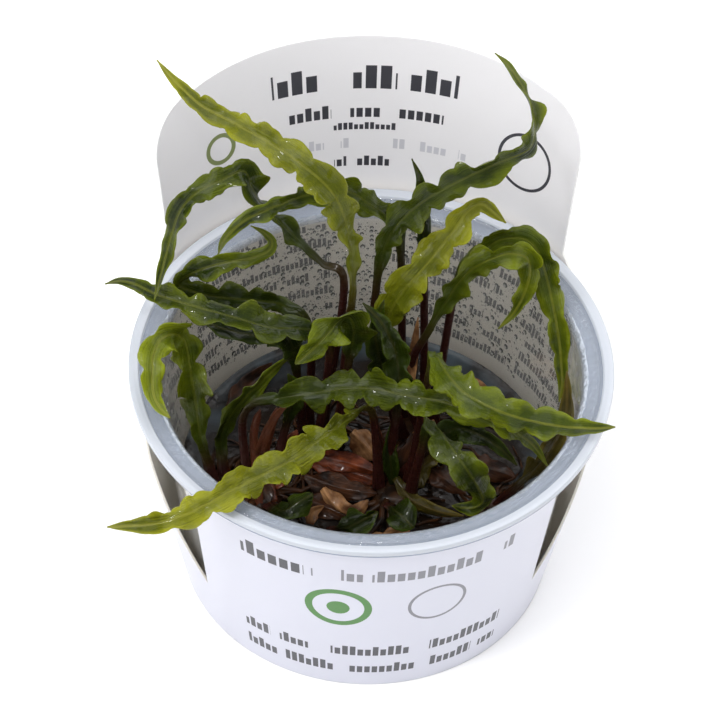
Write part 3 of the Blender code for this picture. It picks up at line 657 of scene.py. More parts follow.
# Its whiter, warmer white below the rim is painted light in the cup's shade.
card_back = card_finish("coated card, printed inside", "#e2e1e3", "#f6f1ea", [
    (printed_lines, (-20.5, 20.0, 81.0, 87.5, 1, 5.6, 12.0, 3.2), BOLD_INK),
    (printed_lines, (-17.0, 17.5, 74.0, 77.8, 1, 3.2, 9.0, 1.9), BOLD_INK),
    (printed_lines, (-7.0, 8.5, 71.0, 73.0, 1, 1.7, 6.0, 1.2), BOLD_INK),
    (printed_lines, (-7.0, 7.5, 62.0, 65.0, 1, 2.4, 5.0, 1.6), BOLD_INK),
    (printed_lines, (-15.0, 24.0, 66.5, 70.5, 1, 2.4, 6.0, 1.6), PALE_INK),
    (printed_ring, (38.0, 72.0, 6.4, 0.7, 55.0), BOLD_INK),
    (printed_ring, (-34.0, 74.0, 3.2, 1.0, 55.0), "#7f8a58"),
    (printed_lines, (-82.0, -8.0, 22.0, 54.0, 8, 2.1, 5.0, 1.3), BOLD_INK),
    (printed_lines, (8.0, 82.0, 22.0, 54.0, 8, 2.1, 5.0, 1.3), BOLD_INK),
], from_back=True)
card_edge = card_finish("cut edge of card", "#dedede", "#d3cfc7", [])
stand_for(sleeve, "card_sleeve", [card_front, card_back, card_edge])

# %% [markdown]
# ## The crowns
#
# Each plantlet's leaves rise from a short brown crown that stands on the gel. A crown is
# a ball, flattened below, with its skin pushed in and out by a noise so that it looks
# grown.

# %% Crowns
CROWNS = {
    "crown_front": (6, -7, 4.8, 3.2),
    "crown_back": (10, 11, 5.2, 3.2),
    "crown_middle_left": (-10, 7, 5.0, 3.2),
    "crown_left": (-22, -9, 4.2, 2.6),
    "crown_wall_left": (-31, -6, 3.0, 2.6),
    "crown_right": (27, -9, 2.8, 2.4),
}


def dead_finish(name, light, dark):
    """Soft dead leaf or crown, wet: streaked brown, half glossy."""
    material, tree, shader = new_finish(
        name, Roughness=0.45, IOR=1.34, Specular_IOR_Level=0.15, Coat_Weight=0.35, Coat_IOR=1.4,
        Coat_Roughness=0.08)
    place = add_node(tree, 'ShaderNodeTexCoord').outputs["Object"]
    blotch = add_node(tree, 'ShaderNodeTexNoise', inputs={"Vector": place, "Scale": 300.0, "Detail": 5.0})
    share = add_node(tree, 'ShaderNodeMapRange',
                     inputs={"Value": blotch.outputs[0], "From Min": 0.36, "From Max": 0.64})
    streak = add_node(tree, 'ShaderNodeAttribute', {"attribute_name": "leaf_place"})
    stretch = add_node(tree, 'ShaderNodeVectorMath', {"operation": 'MULTIPLY'},
                       {0: streak.outputs["Vector"], 1: (2.4, 0.2, 0.0)})
    fibres = add_node(tree, 'ShaderNodeTexNoise',
                      inputs={"Vector": stretch.outputs[0], "Scale": 1.0, "Detail": 4.0})
    mix = add_node(tree, 'ShaderNodeMix', {"data_type": 'RGBA'},
                   {MIX_SHARE: share.outputs[0], MIX_FIRST: srgb(dark), MIX_SECOND: srgb(light)})
    deeper = add_node(tree, 'ShaderNodeMapRange',
                      inputs={"Value": fibres.outputs[0], "From Min": 0.4, "From Max": 0.7, "To Max": 0.6})
    lined = add_node(tree, 'ShaderNodeMix', {"data_type": 'RGBA'},
                     {MIX_SHARE: deeper.outputs[0], MIX_FIRST: mix.outputs[MIX_OUT], MIX_SECOND: srgb(dark)})
    tree.links.new(lined.outputs[MIX_OUT], shader.inputs["Base Color"])
    bump = add_node(tree, 'ShaderNodeBump',
                    inputs={"Strength": 0.6, "Distance": 0.0004, "Height": fibres.outputs[0]})
    tree.links.new(bump.outputs[0], shader.inputs["Normal"])
    return material


crown_finish = dead_finish("wet brown crown", "#3a2414", "#150c06")
for name, (x, y, radius, rise) in CROWNS.items():
    start_clean()
    bpy.ops.mesh.primitive_ico_sphere_add(subdivisions=4, radius=radius * MM)
    crown = name_piece("grown_" + name)
    foot = (GEL_LEVEL + 0.1) * MM
    bpy.ops.object.mode_set(mode='EDIT')
    bpy.ops.mesh.select_all(action='SELECT')
    bpy.ops.transform.resize(value=(1.0, 1.0, 1.5 * rise / radius))
    bpy.ops.transform.translate(value=(x * MM, y * MM, foot))
    bpy.ops.mesh.bisect(plane_co=(0.0, 0.0, foot - 0.6 * MM), plane_no=(0.0, 0.0, 1.0), use_fill=True,
                        clear_inner=True)
    bpy.ops.object.mode_set(mode='OBJECT')
    for point in crown.data.vertices:
        push = 0.5 * noise.noise(point.co * 500.0) + 0.3 * noise.noise(point.co * 1300.0)
        point.co += (point.co - Vector((x, y, GEL_LEVEL)) * MM).normalized() * push * MM
        point.co.z = min(point.co.z, (GEL_LEVEL + GAP + rise + 0.4) * MM)
    close_up()
    stand_for(crown, name, [crown_finish])

# %% [markdown]
# ## The leaves
#
# A crypt's leaf is one ribbon with its stalk: a round stalk that flattens into a blade
# with a thick midrib and a ruffled edge. Each leaf's way is given by where its midrib
# shows in the view, with its height there, and by the crown that it grows from. A smooth
# curve joins those places. For the skin, a grid is rolled up round that curve, with more
# columns near the midrib and the edge, where the leaf bends most.

# %% The leaves' ways
LEAVES = {
    "leaf_tall_left": dict(
        foot=("crown_middle_left", 0, 3.8), width=7.2, stalk=0.42, turns=(0, 0, 10, 50, -10, 0, 20),
        color="leaf_bright",
        seen=[(347, 335, 62), (352, 300, 74), (353, 268, 82), (349, 238, 89), (343, 214, 96), (331, 191, 101),
              (304, 166, 104.5), (270, 143, 106), (232, 122, 106), (205, 108, 106), (190, 96, 106),
              (170, 76, 106.2), (157, 60, 107)]),
    "leaf_arched_left": dict(
        foot=("crown_middle_left", 90, 3.4), width=5.6, stalk=0.45, point=3.4, turns=(0, 0, 20, 60, 0, 40),
        color="leaf_mid",
        seen=[(344, 287, 71), (322, 264, 76), (301, 243, 80.5), (281, 224, 85), (262, 206, 89.5),
              (251, 187, 94), (243, 171, 98), (222, 180, 98), (199, 191, 96), (182, 208, 92),
              (174, 228, 87), (167, 252, 82), (161, 276, 77), (154, 301, 72)]),
    "leaf_level_left": dict(
        foot=("crown_back", 140, 3.8), width=6.0, stalk=0.45, turns=(0, 0, 0, 30, -30, 0), color="leaf_mid",
        seen=[(400, 240, 77.5), (386, 217, 84), (370, 205, 88.5), (352, 193, 92), (333, 189, 94),
              (316, 193, 95), (298, 197, 95.5), (280, 204, 95.5), (263, 211, 95), (247, 219, 94),
              (233, 230, 92), (223, 242, 89), (218, 255, 85)]),
    "leaf_folded_back": dict(
        foot=("crown_middle_left", 140, 3.8), width=6.4, stalk=0.35, turns=(0, 10, 0, -30, 0, 30),
        color="leaf_mid",
        seen=[(310, 330, 57), (284, 306, 61), (262, 301, 63), (221, 297, 65), (192, 291, 67),
              (178, 284, 69.5), (184, 277, 72), (204, 268, 75), (228, 262, 77), (252, 258, 78.5),
              (268, 251, 80), (272, 241, 82), (263, 232, 84), (251, 226, 86)]),
    "leaf_far_left": dict(
        foot=("crown_middle_left", 255, 3.4), width=7.0, stalk=0.4, turns=(0, 0, 0, 40, 20, 0),
        color="leaf_mid",
        seen=[(330, 350, 57), (322, 334, 62), (303, 329, 66), (272, 328, 68), (248, 322, 69.5),
              (225, 315, 70.5), (200, 308, 71.5), (176, 301, 71.5), (155, 294, 71), (137, 285, 70),
              (120, 281, 69), (105, 284, 68)]),
    "leaf_under_left": dict(
        foot=("crown_middle_left", 185, 3.8), width=5.0, stalk=0.4, turns=(0, 0, 20, 40), color="leaf_dark",
        seen=[(292, 346, 59.5), (268, 338, 61), (243, 334, 62), (220, 328, 63), (200, 320, 63), (181, 311, 63)]),
    "leaf_broad_middle": dict(
        foot=("crown_middle_left", 310, 3.8), width=8.2, stalk=0.5, point=3.6, turns=(0, 0, 0, 0), color="leaf_mid",
        seen=[(352, 345, 62), (354, 327, 69), (348, 316, 73), (337, 322, 74), (325, 336, 72),
              (311, 351, 68), (295, 364, 64)]),
    "leaf_low_left": dict(
        foot=("crown_left", 50, 2.6), width=5.4, stalk=0.5, turns=(0, 30, 20), color="leaf_dark",
        seen=[(284, 432, 35.5), (291, 405, 43), (294, 386, 49), (288, 374, 53)]),
    "leaf_over_rim_left": dict(
        foot=("crown_front", 170, 3.4), width=6.8, stalk=0.28, point=5.0, turns=(0, 0, 0, 0, 10),
        color="leaf_bright", ruffle=1.2,
        seen=[(372, 412, 47), (352, 416, 53), (334, 429, 56.5), (315, 443, 58.5), (298, 456, 59.5),
              (275, 469, 60.3), (252, 480, 60.6), (228, 493, 60.8), (205, 505, 60.6), (180, 517, 60),
              (154, 524, 59), (128, 526, 58), (107, 527, 57.5)]),
    "leaf_over_rim_right": dict(
        foot=("crown_front", 40, 3.6), width=7.4, stalk=0.42, point=4.0, turns=(0, 0, 0, 10, 20),
        color="leaf_bright", finish="leaf_fresh",
        seen=[(431, 366, 62), (436, 358, 66), (447, 374, 68), (462, 391, 68), (480, 402, 67.8),
              (502, 412, 67), (525, 419, 65.5), (548, 424, 64), (572, 427, 62.8), (594, 428, 61.8),
              (615, 427, 61)]),
    "leaf_across_middle": dict(
        foot=("crown_left", 170, 2.6), width=7.6, stalk=0.26, turns=(0, 20, -20, 0, 0, 20), color="leaf_mid",
        ruffle=1.5,
        seen=[(243, 440, 37), (244, 415, 45), (256, 403, 50), (280, 398, 52), (310, 394, 54),
              (343, 389, 56), (375, 389, 57.5), (405, 395, 58), (435, 400, 58), (460, 407, 57.5),
              (482, 416, 57), (508, 428, 54), (532, 444, 48), (548, 467, 43)]),
    "leaf_drooping_right": dict(
        foot=("crown_front", 340, 3.2), width=7.0, stalk=0.3, point=4.0, turns=(0, 0, -20, 0, 60), color="leaf_mid",
        seen=[(428, 428, 46), (437, 430, 49), (447, 443, 49.5), (458, 458, 49), (468, 472, 46.5),
              (477, 486, 42), (483, 500, 37), (475, 507, 34.5), (462, 508, 34), (452, 506, 36)]),
    "leaf_hooked": dict(
        foot=("crown_wall_left", 190, 1.2), width=6.2, stalk=0.14, point=6.0, turns=(0, 0, 0, 40, 0, 0),
        color="leaf_bright", finish="leaf_fresh", ruffle=1.3,
        seen=[(207, 460, 30), (200, 436, 38), (196, 405, 46), (190, 370, 56), (184, 342, 63),
              (173, 334, 67), (160, 340, 68), (153, 356, 66.5), (152, 376, 64.5), (154, 396, 63),
              (161, 409, 62.3), (170, 418, 62)]),
    "leaf_low_wall_left": dict(
        foot=("crown_wall_left", 60, 1.8), width=4.8, stalk=0.15, turns=(0, 40, 40), color="leaf_mid",
        seen=[(221, 437, 33), (232, 413, 39), (248, 394, 43.5), (264, 378, 47.5), (279, 365, 51),
              (294, 354, 54)]),
    "leaf_arched_right": dict(
        foot=("crown_back", 95, 3.8), width=6.4, stalk=0.38, turns=(0, 0, 30, 20, 40), color="leaf_mid",
        finish="leaf_fresh",
        seen=[(412, 364, 44), (428, 332, 54), (445, 303, 61), (462, 278, 68), (482, 263, 72.5),
              (505, 254, 75), (524, 256, 74), (530, 270, 70), (525, 292, 64), (514, 313, 58),
              (498, 329, 54)]),
    "leaf_hanging_right": dict(
        foot=("crown_back", 20, 3.8), width=5.8, stalk=0.4, point=3.6, turns=(0, 0, 20, 0, 0),
        color="leaf_mid", finish="leaf_fresh",
        seen=[(456, 285, 62.5), (474, 258, 68.5), (500, 240, 73.5), (524, 239, 74), (538, 252, 71.5),
              (547, 279, 65.5), (553, 306, 60), (558, 333, 54), (561, 360, 48.5), (562, 383, 43.5),
              (559, 402, 39.5)]),
    "leaf_tall_right": dict(
        foot=("crown_back", 180, 3.8), width=7.2, stalk=0.4, turns=(0, 0, 0, 10, 30, 60, 20),
        color="leaf_mid",
        seen=[(376, 330, 57), (376, 290, 68.5), (382, 256, 78.5), (394, 229, 86), (413, 209, 91),
              (438, 192, 95), (465, 178, 98), (492, 165, 100), (515, 156, 101.5), (530, 147, 102.5),
              (534, 125, 104.5), (530, 102, 106), (519, 82, 107.7), (507, 64, 108.7), (495, 53, 109)]),
    "leaf_yellow_right": dict(
        foot=("crown_back", 300, 3.8), width=7.6, stalk=0.4, point=3.4, turns=(0, 0, 0, 30), color="leaf_bright",
        seen=[(386, 345, 56), (389, 316, 63.5), (403, 291, 70), (421, 271, 75), (438, 250, 79),
              (454, 230, 82.5), (467, 212, 85), (481, 204, 86), (493, 212, 84), (506, 223, 81.5)]),
    "leaf_upright_back": dict(
        foot=("crown_back", 60, 3.8), width=3.4, stalk=0.6, turns=(0, 0, 20), color="leaf_dark",
        seen=[(424, 260, 70), (424, 225, 80), (421, 195, 88), (419, 177, 93), (412, 159, 97.5)]),
    "leaf_dark_behind": dict(
        foot=("crown_back", 230, 3.8), width=5.6, stalk=0.4, turns=(0, 0, 0), color="leaf_dark",
        seen=[(378, 352, 56), (377, 325, 63), (384, 300, 69)]),
    "leaf_dark_middle": dict(
        foot=("crown_front", 125, 3.4), width=6.0, stalk=0.4, turns=(0, 0, 20), color="leaf_dark",
        seen=[(398, 400, 47), (397, 360, 56), (385, 328, 64), (363, 303, 70)]),
    "leaf_shaded_right": dict(
        foot=("crown_front", 82, 3.4), width=5.4, stalk=0.3, turns=(0, 0, 20), color="leaf_dark",
        seen=[(430, 447, 33), (455, 428, 38), (478, 434, 39.5), (500, 448, 39), (517, 465, 37)]),
    "leaf_wall_right": dict(
        foot=("crown_right", 0, 0.6), width=5.0, stalk=0.2, turns=(20, 20, 0), color="leaf_olive",
        seen=[(511, 491, 29), (533, 472, 35), (553, 446, 43), (565, 417, 49.5), (567, 392, 54.5),
              (567, 371, 58)]),
    "leaf_small_left": dict(
        foot=("crown_left", 300, 2.6), width=6.0, stalk=0.2, point=5.0, turns=(0, 0), color="leaf_dark",
        seen=[(284, 512, 28), (298, 503, 30), (313, 494, 31)]),
    "leaf_small_middle": dict(
        width=5.2, stalk=0.2, point=4.0, turns=(0, 0), color="leaf_dark", ruffle=1.6,
        seen=[(328, 530, 22.8), (350, 526, 25.5), (378, 512, 29)]),
    "leaf_small_front": dict(
        width=6.2, stalk=0.2, point=6.0, turns=(0, 0), color="leaf_dark", ruffle=1.5,
        seen=[(386, 505, 26), (400, 515, 28), (414, 528, 27)]),
    "stalk_left_brown": dict(
        foot=("crown_left", 320, 2.6), width=1.8, stalk=1.0, turns=(0, 0), color="stalk_wine",
        seen=[(265, 458, 30), (270, 432, 36), (277, 408, 42)]),
    "stalk_left_wine": dict(
        foot=("crown_left", 250, 2.6), width=1.8, stalk=1.0, turns=(0, 0), color="stalk_wine",
        seen=[(255, 462, 31), (254, 432, 38), (260, 410, 45)]),
}

# %% [markdown]
# Dead leaves and stalks lie on the gel among the crowns. They are made in the same way,
# thicker and without a sharp edge.

# %% The dead pieces' ways
LITTER = {
    "dead_leaf_tan": dict(width=6.0, turns=(0, 0), color="dead_tan", point=6.0,
                          seen=[(352, 432, 27), (365, 445, 25), (376, 460, 22.9)]),
    "dead_stalk_red": dict(width=5.4, turns=(0, 0), color="dead_rust", point=6.0,
                           seen=[(312, 464, 22.9), (345, 471, 24), (378, 481, 24)]),
    "dead_leaf_right": dict(width=4.6, turns=(20, 0), color="dead_rust",
                            seen=[(416, 466, 23.2), (430, 450, 26.5), (444, 434, 30)]),
    "dead_stalk_front": dict(width=2.4, turns=(0, 0), color="dead_rust",
                             seen=[(420, 504, 23.4), (440, 512, 23.2), (459, 516, 22.9)]),
    "dead_leaf_curled": dict(width=4.2, turns=(0, 60, 0), color="dead_tan", point=5.0,
                             seen=[(323, 489, 25.5), (340, 508, 24), (355, 512, 24), (368, 500, 25.5)]),
    "dead_leaf_back": dict(width=3.6, turns=(0, 0), color="dead_tan",
                           seen=[(455, 388, 23), (472, 384, 24), (490, 392, 23)]),
    "dead_leaf_wall_left": dict(width=5.6, turns=(0, 30), color="dead_brown",
                                seen=[(228, 408, 23.2), (250, 385, 24), (272, 363, 24)]),
    "dead_strip_front": dict(width=2.6, turns=(0, 0), color="dead_tan",
                             seen=[(345, 533, 22.8), (365, 535, 22.8), (385, 534, 22.8)]),
}

# %% [markdown]
# The sight line through a place in the view, cut at a height, gives a point of the
# midrib. The curve through the points is sampled at equal steps.

# %% From the view to a smooth curve
FINE_STEP = 0.6
FOOT_SINK = 0.7
LIGHT = Vector((0.0, -0.66, 0.75))
TURN_BACK = 4.0


def seen_point(across, down, height):
    """The point at a height whose sight line crosses the view at across and down."""
    sight = FORWARD + (RIGHT * (across - VIEW_MIDDLE) - TOP * (down - VIEW_MIDDLE)) / VIEW_FOCUS
    return EYE + sight * ((height - EYE.z) / sight.z)


def foot_point(crown, bearing, reach):
    """Where a stalk grows out of the top of its crown."""
    x, y, _, rise = CROWNS[crown]
    turn = math.radians(bearing)
    return Vector((x + reach * math.cos(turn), y + reach * math.sin(turn), GEL_LEVEL + GAP + rise - FOOT_SINK))


def even_curve(points, step):
    """Points at equal steps along a smooth curve through the given ones."""
    known = np.array([tuple(p) for p in points])
    padded = np.vstack([known[0], known, known[-1]])
    t = np.linspace(0.0, 1.0, 40, endpoint=False)[:, None]
    pieces = []
    for before, start, end, after in zip(padded, padded[1:], padded[2:], padded[3:]):
        pieces.append(0.5 * (2.0 * start + (end - before) * t
                             + (2.0 * before - 5.0 * start + 4.0 * end - after) * t ** 2
                             + (3.0 * start - before - 3.0 * end + after) * t ** 3))
    fine = np.vstack(pieces + [known[-1:]])
    run = np.concatenate([[0.0], np.cumsum(np.linalg.norm(np.diff(fine, axis=0), axis=1))])
    count = max(12, round(run[-1] / step)) + 1
    wanted = np.linspace(0.0, run[-1], count)
    return np.stack([np.interp(wanted, run, fine[:, k]) for k in range(3)], axis=1), run[-1]


# %% [markdown]
# ## The section of a leaf
#
# The stalk is 1.7 mm across. The blade swells over its first third and tapers to a
# point. Its two halves rise like a shallow V from the midrib, which stands out below, and
# its margin is drawn out in lobes 4 to 5 mm apart that also wave up and down, each side
# in its own rhythm.

# %% Width, turn and ruffle
STALK_WIDTH = 1.7
STALK_THICKNESS = 1.3
BLADE_THICKNESS = 0.42
TIP_HALF_WIDTH = 0.16
LEAF_FOLD = 0.2
BLADE_SWELL = 0.3
STALK_BLEND = 0.15
LOBE_LENGTH = 3.7
LOBE_DEPTH = 0.34
LOBE_WAVE = 1.4
CRINKLE_LENGTH = 2.6
CRINKLE_HEIGHT = 0.7
TIP_CALM = 9.0
END_TAPER = 7.0
BROAD_LOBE = 8.0
BROAD_DEPTH = 0.5
SHEATH_SPREAD = 0.9
SHEATH_LENGTH = 6.0
RIB_DEPTH = 0.5
RIB_HALF_WIDTH = 0.55
HALF_COLUMNS = 8


def blade_half_width(share, stalk, width, point):
    """Half the leaf's width at a share of its length, from stalk to tip; a high point is blunter."""
    if share <= stalk:
        return STALK_WIDTH / 2.0 * min(1.0, 0.25 + END_TAPER * (1.0 - share))
    along_blade = (share - stalk) / (1.0 - stalk)
    swell = min(1.0, along_blade / BLADE_SWELL)
    swell = swell * swell * (3.0 - 2.0 * swell)
    taper = (1.0 - along_blade ** point) ** 0.8
    return (STALK_WIDTH + (width - STALK_WIDTH) * swell) / 2.0 * taper


def turned(turns, share):
    """The turn about the midrib, in radians, at a share of the length."""
    return math.radians(float(np.interp(share * (len(turns) - 1), range(len(turns)), turns)))


def across_leaf(along, side, step):
    """The direction across the leaf: carried on, and turned back to the light as it goes."""
    carried = (side - along * side.dot(along)).normalized()
    facing = along.cross(LIGHT)
    if facing.dot(carried) < 0.0:
        facing = -facing
    return carried.lerp(facing, 1.0 - math.exp(-step / TURN_BACK)).normalized()


def section_places():
    """Places across the leaf, -1 to 1, over the top and back below, and which skin each is on."""
    share = np.arange(-HALF_COLUMNS, HALF_COLUMNS + 1) / HALF_COLUMNS
    size = np.abs(share)
    top = np.sign(share) * size * size * (3.0 - 2.0 * size)
    places = np.concatenate([top, top[-2::-1]])
    skins = np.concatenate([np.ones(len(top)), -np.ones(len(top) - 1)])
    skins[[0, len(top) - 1, -1]] = 0.0
    return places, skins


def margin(run, seed, side):
    """How far the margin reaches out and rises, in round lobes that are uneven and differ on each side."""
    phase = (math.pi * run / LOBE_LENGTH + 1.1 * math.sin(run / 6.1 + seed + 2.0 * side)
             + 0.5 * math.sin(run / 2.7 + 2.3 * seed + side) + 1.9 * side)
    broad = math.pi * run / BROAD_LOBE + 0.8 * math.sin(run / 9.0 + 1.4 * seed + side) + 0.7 * side + seed
    strength = 0.6 + 0.4 * math.sin(run / 7.5 + 1.7 * seed + 1.3 * side)
    notch = strength * (1.0 - abs(math.sin(phase)) ** 0.6)
    bay = (1.0 - abs(math.sin(broad)) ** 0.6)
    return (0.16 - LOBE_DEPTH * notch - BROAD_DEPTH * bay,
            strength * math.sin(phase) + 0.9 * math.sin(broad))


# %% Roll a grid into a leaf
def roll_leaf(name, seen, width, turns, color, finish=None, foot=None, stalk=0.0, point=2.6, ruffle=1.0,
              thickness=BLADE_THICKNESS):
    """Shape a grid round the leaf's curve; returns the piece, closed and smooth."""
    start = [foot_point(*foot)] if foot else []
    middle, length = even_curve(start + [seen_point(*place) for place in seen], FINE_STEP)
    count = len(middle)
    places, skins = section_places()
    columns = len(places) - 1
    seed = sum(ord(letter) for letter in name) % 97 / 5.0
    start_clean()
    bpy.ops.mesh.primitive_grid_add(x_subdivisions=columns, y_subdivisions=count - 1, size=1.0)
    piece = name_piece(name)
    column, row = grid_places(piece, columns, count - 1)
    rings = np.empty((count, columns + 1, 3))
    marks = np.empty((count, columns + 1, 3))
    side = Vector((1.0, 0.0, 0.0))
    step = length / (count - 1)
    for i in range(count):
        share = i / (count - 1)
        run = share * length
        along = Vector(middle[min(i + 1, count - 1)] - middle[max(i - 1, 0)]).normalized()
        side = across_leaf(along, side, step)
        across = Matrix.Rotation(turned(turns, share), 3, along) @ side
        face = across.cross(along).normalized()
        on_blade = min(1.0, max(0.0, (share - stalk) / STALK_BLEND + 0.5)) if stalk else 1.0
        half = max(TIP_HALF_WIDTH, blade_half_width(share, stalk, width, point))
        if foot:
            half = half + STALK_WIDTH / 2.0 * SHEATH_SPREAD * math.exp(-run / SHEATH_LENGTH)
        size = on_blade * ruffle * min(1.0, half / 2.6) * min(1.0, TIP_CALM * (1.0 - share))
        reach = np.empty(columns + 1)
        wave = np.empty(columns + 1)
        for sign in (-1, 1):
            out, up = margin(run, seed, sign)
            on_side = places * sign >= 0.0
            reach[on_side] = half * (1.0 + size * out)
            wave[on_side] = LOBE_WAVE * size * up
        spread = np.abs(places)
        aside = places * reach
        crinkle = np.array([noise.noise(Vector((a, run, 9.0 * seed)) / CRINKLE_LENGTH) for a in aside])
        lift = LEAF_FOLD * half * on_blade * spread ** 1.3 + wave * spread ** 1.9
        lift = lift + CRINKLE_HEIGHT * size * crinkle * np.sqrt(spread)
        round_half = STALK_THICKNESS / 2.0 * np.sqrt(1.0 - places ** 2)
        flat_half = thickness / 2.0 * (1.0 - places ** 2) ** 0.3
        body = round_half + (flat_half - round_half) * on_blade
        body = body * min(1.0, 0.35 + 4.0 * (1.0 - share))
        rib = np.exp(-(aside / RIB_HALF_WIDTH) ** 2) * on_blade * (1.0 - 0.75 * share)
        offset = skins * body - np.where(skins < 0.0, RIB_DEPTH * rib, 0.0)
        offset = offset - np.where(skins > 0.0, 0.14 * rib, 0.0)
        rings[i] = middle[i] + np.outer(aside, across) + np.outer(lift + offset, face)
        grown = on_blade + max(0.0, (share - stalk) / (1.0 - stalk + 1e-6)) * on_blade
        marks[i] = np.stack([aside, np.full(columns + 1, run), np.full(columns + 1, grown)], axis=1)
    piece.data.vertices.foreach_set("co", (rings[row, column] * MM).ravel())
    mark = piece.data.attributes.new("leaf_place", 'FLOAT_VECTOR', 'POINT')
    mark.data.foreach_set("vector", marks[row, column].ravel())
    rim = piece.data.attributes.new("leaf_rim", 'FLOAT', 'POINT')
    rim.data.foreach_set("value", np.abs(places)[column])
    close_up()
    return piece, length


# %% [markdown]
# ## Wet green leaf
#
# A submerged crypt's leaf is thin and wet, so light comes through it and its skin
# mirrors the lamps in small bright spots. It is mottled, with fine lines along it, a
# paler midrib and a thin pale margin, and it turns wine-brown down its stalk. Broad
# patches are painted lighter where the leaf would be backlit and darker where it is
# shaded, and the blade is painted darker towards its stalk as painted shade.


# %% Leaf finish
def leaf_finish(name, light, dark, rib_color, stalk_color="#2e1410"):
    """Wet leaf: mottled between two greens with painted backlit and shaded patches, with midrib, lines, margin,
    painted shade towards the stalk, and stalk.
    """
    material, tree, shader = new_finish(
        name, Roughness=0.4, IOR=1.33, Specular_IOR_Level=0.12, Subsurface_Weight=0.2,
        Subsurface_Scale=0.0008, Subsurface_Radius=(1.0, 1.0, 0.2), Coat_Weight=0.4, Coat_IOR=1.4,
        Coat_Roughness=0.05)
    mark = add_node(tree, 'ShaderNodeAttribute', {"attribute_name": "leaf_place"})
    parts = add_node(tree, 'ShaderNodeSeparateXYZ', inputs={0: mark.outputs["Vector"]})
    aside = add_node(tree, 'ShaderNodeMath', {"operation": 'ABSOLUTE'}, {0: parts.outputs["X"]})
    outward = add_node(tree, 'ShaderNodeAttribute', {"attribute_name": "leaf_rim"})
    place = add_node(tree, 'ShaderNodeTexCoord').outputs["Object"]
    mottle = add_node(tree, 'ShaderNodeTexNoise', inputs={"Vector": place, "Scale": 190.0, "Detail": 4.0})
    # Painted light: broad patches of this noise make the leaf lighter where it would be backlit and darker where it
    # is shaded.
    shade = add_node(tree, 'ShaderNodeTexNoise', inputs={"Vector": place, "Scale": 42.0, "Detail": 1.0})
    both = add_node(tree, 'ShaderNodeMath', {"operation": 'ADD'}, {0: mottle.outputs[0], 1: shade.outputs[0]})
    mottle_and_backlight_share = add_node(tree, 'ShaderNodeMapRange',
                            inputs={"Value": both.outputs[0], "From Min": 0.82, "From Max": 1.2})
    green = add_node(tree, 'ShaderNodeMix', {"data_type": 'RGBA'},
                     {MIX_SHARE: mottle_and_backlight_share.outputs[0], MIX_FIRST: srgb(dark), MIX_SECOND: srgb(light)})
    stretch = add_node(tree, 'ShaderNodeVectorMath', {"operation": 'MULTIPLY'},
                       {0: mark.outputs["Vector"], 1: (2.8, 0.15, 0.0)})
    lines = add_node(tree, 'ShaderNodeTexNoise', inputs={"Vector": stretch.outputs[0], "Scale": 1.0, "Detail": 3.0})
    line_share = add_node(tree, 'ShaderNodeMapRange',
                          inputs={"Value": lines.outputs[0], "From Min": 0.45, "From Max": 0.7, "To Max": 0.3})
    lined = add_node(tree, 'ShaderNodeMix', {"data_type": 'RGBA'},
                     {MIX_SHARE: line_share.outputs[0], MIX_FIRST: green.outputs[MIX_OUT], MIX_SECOND: srgb(dark)})
    flank = add_node(tree, 'ShaderNodeMapRange', {"interpolation_type": 'SMOOTHSTEP'},
                     {"Value": aside.outputs[0], "From Min": 0.5, "From Max": 2.2, "To Min": 0.5, "To Max": 0.0})
    flanked = add_node(tree, 'ShaderNodeMix', {"data_type": 'RGBA'},
                       {MIX_SHARE: flank.outputs[0], MIX_FIRST: lined.outputs[MIX_OUT], MIX_SECOND: srgb(dark)})
    rib = add_node(tree, 'ShaderNodeMapRange', {"interpolation_type": 'SMOOTHSTEP'},
                   {"Value": aside.outputs[0], "From Min": 0.12, "From Max": 0.4, "To Min": 0.62, "To Max": 0.0})
    ribbed = add_node(tree, 'ShaderNodeMix', {"data_type": 'RGBA'},
                      {MIX_SHARE: rib.outputs[0], MIX_FIRST: flanked.outputs[MIX_OUT], MIX_SECOND: srgb(rib_color)})
    margin_share = add_node(tree, 'ShaderNodeMapRange', {"interpolation_type": 'SMOOTHSTEP'},
                            {"Value": outward.outputs["Fac"], "From Min": 0.5, "From Max": 1.0, "To Max": 0.6})
    edged = add_node(tree, 'ShaderNodeMix', {"data_type": 'RGBA'},
                     {MIX_SHARE: margin_share.outputs[0], MIX_FIRST: ribbed.outputs[MIX_OUT],
                      MIX_SECOND: srgb(light)})
    # Painted shade: the blade is darker towards its stalk, low in the cup.
    base_shade_share = add_node(tree, 'ShaderNodeMapRange',
                          inputs={"Value": parts.outputs["Z"], "From Min": 1.0, "From Max": 1.85,
                                  "To Min": 0.9, "To Max": 0.0})
    painted_base_shade = add_node(tree, 'ShaderNodeMix', {"data_type": 'RGBA'},
                    {MIX_SHARE: base_shade_share.outputs[0], MIX_FIRST: edged.outputs[MIX_OUT], MIX_SECOND: srgb(dark)})
    whole = add_node(tree, 'ShaderNodeMix', {"data_type": 'RGBA', "clamp_factor": True},
                     {MIX_SHARE: parts.outputs["Z"], MIX_FIRST: srgb(stalk_color), MIX_SECOND: painted_base_shade.outputs[MIX_OUT]})
    tree.links.new(whole.outputs[MIX_OUT], shader.inputs["Base Color"])
    grain = add_node(tree, 'ShaderNodeTexNoise', inputs={"Vector": place, "Scale": 520.0, "Detail": 2.0})
    relief = add_node(tree, 'ShaderNodeMath', {"operation": 'ADD'}, {0: lines.outputs[0], 1: grain.outputs[0]})
    bump = add_node(tree, 'ShaderNodeBump',
                    inputs={"Strength": 0.6, "Distance": 0.0012, "Height": relief.outputs[0]})
    tree.links.new(bump.outputs[0], shader.inputs["Normal"])
    return material


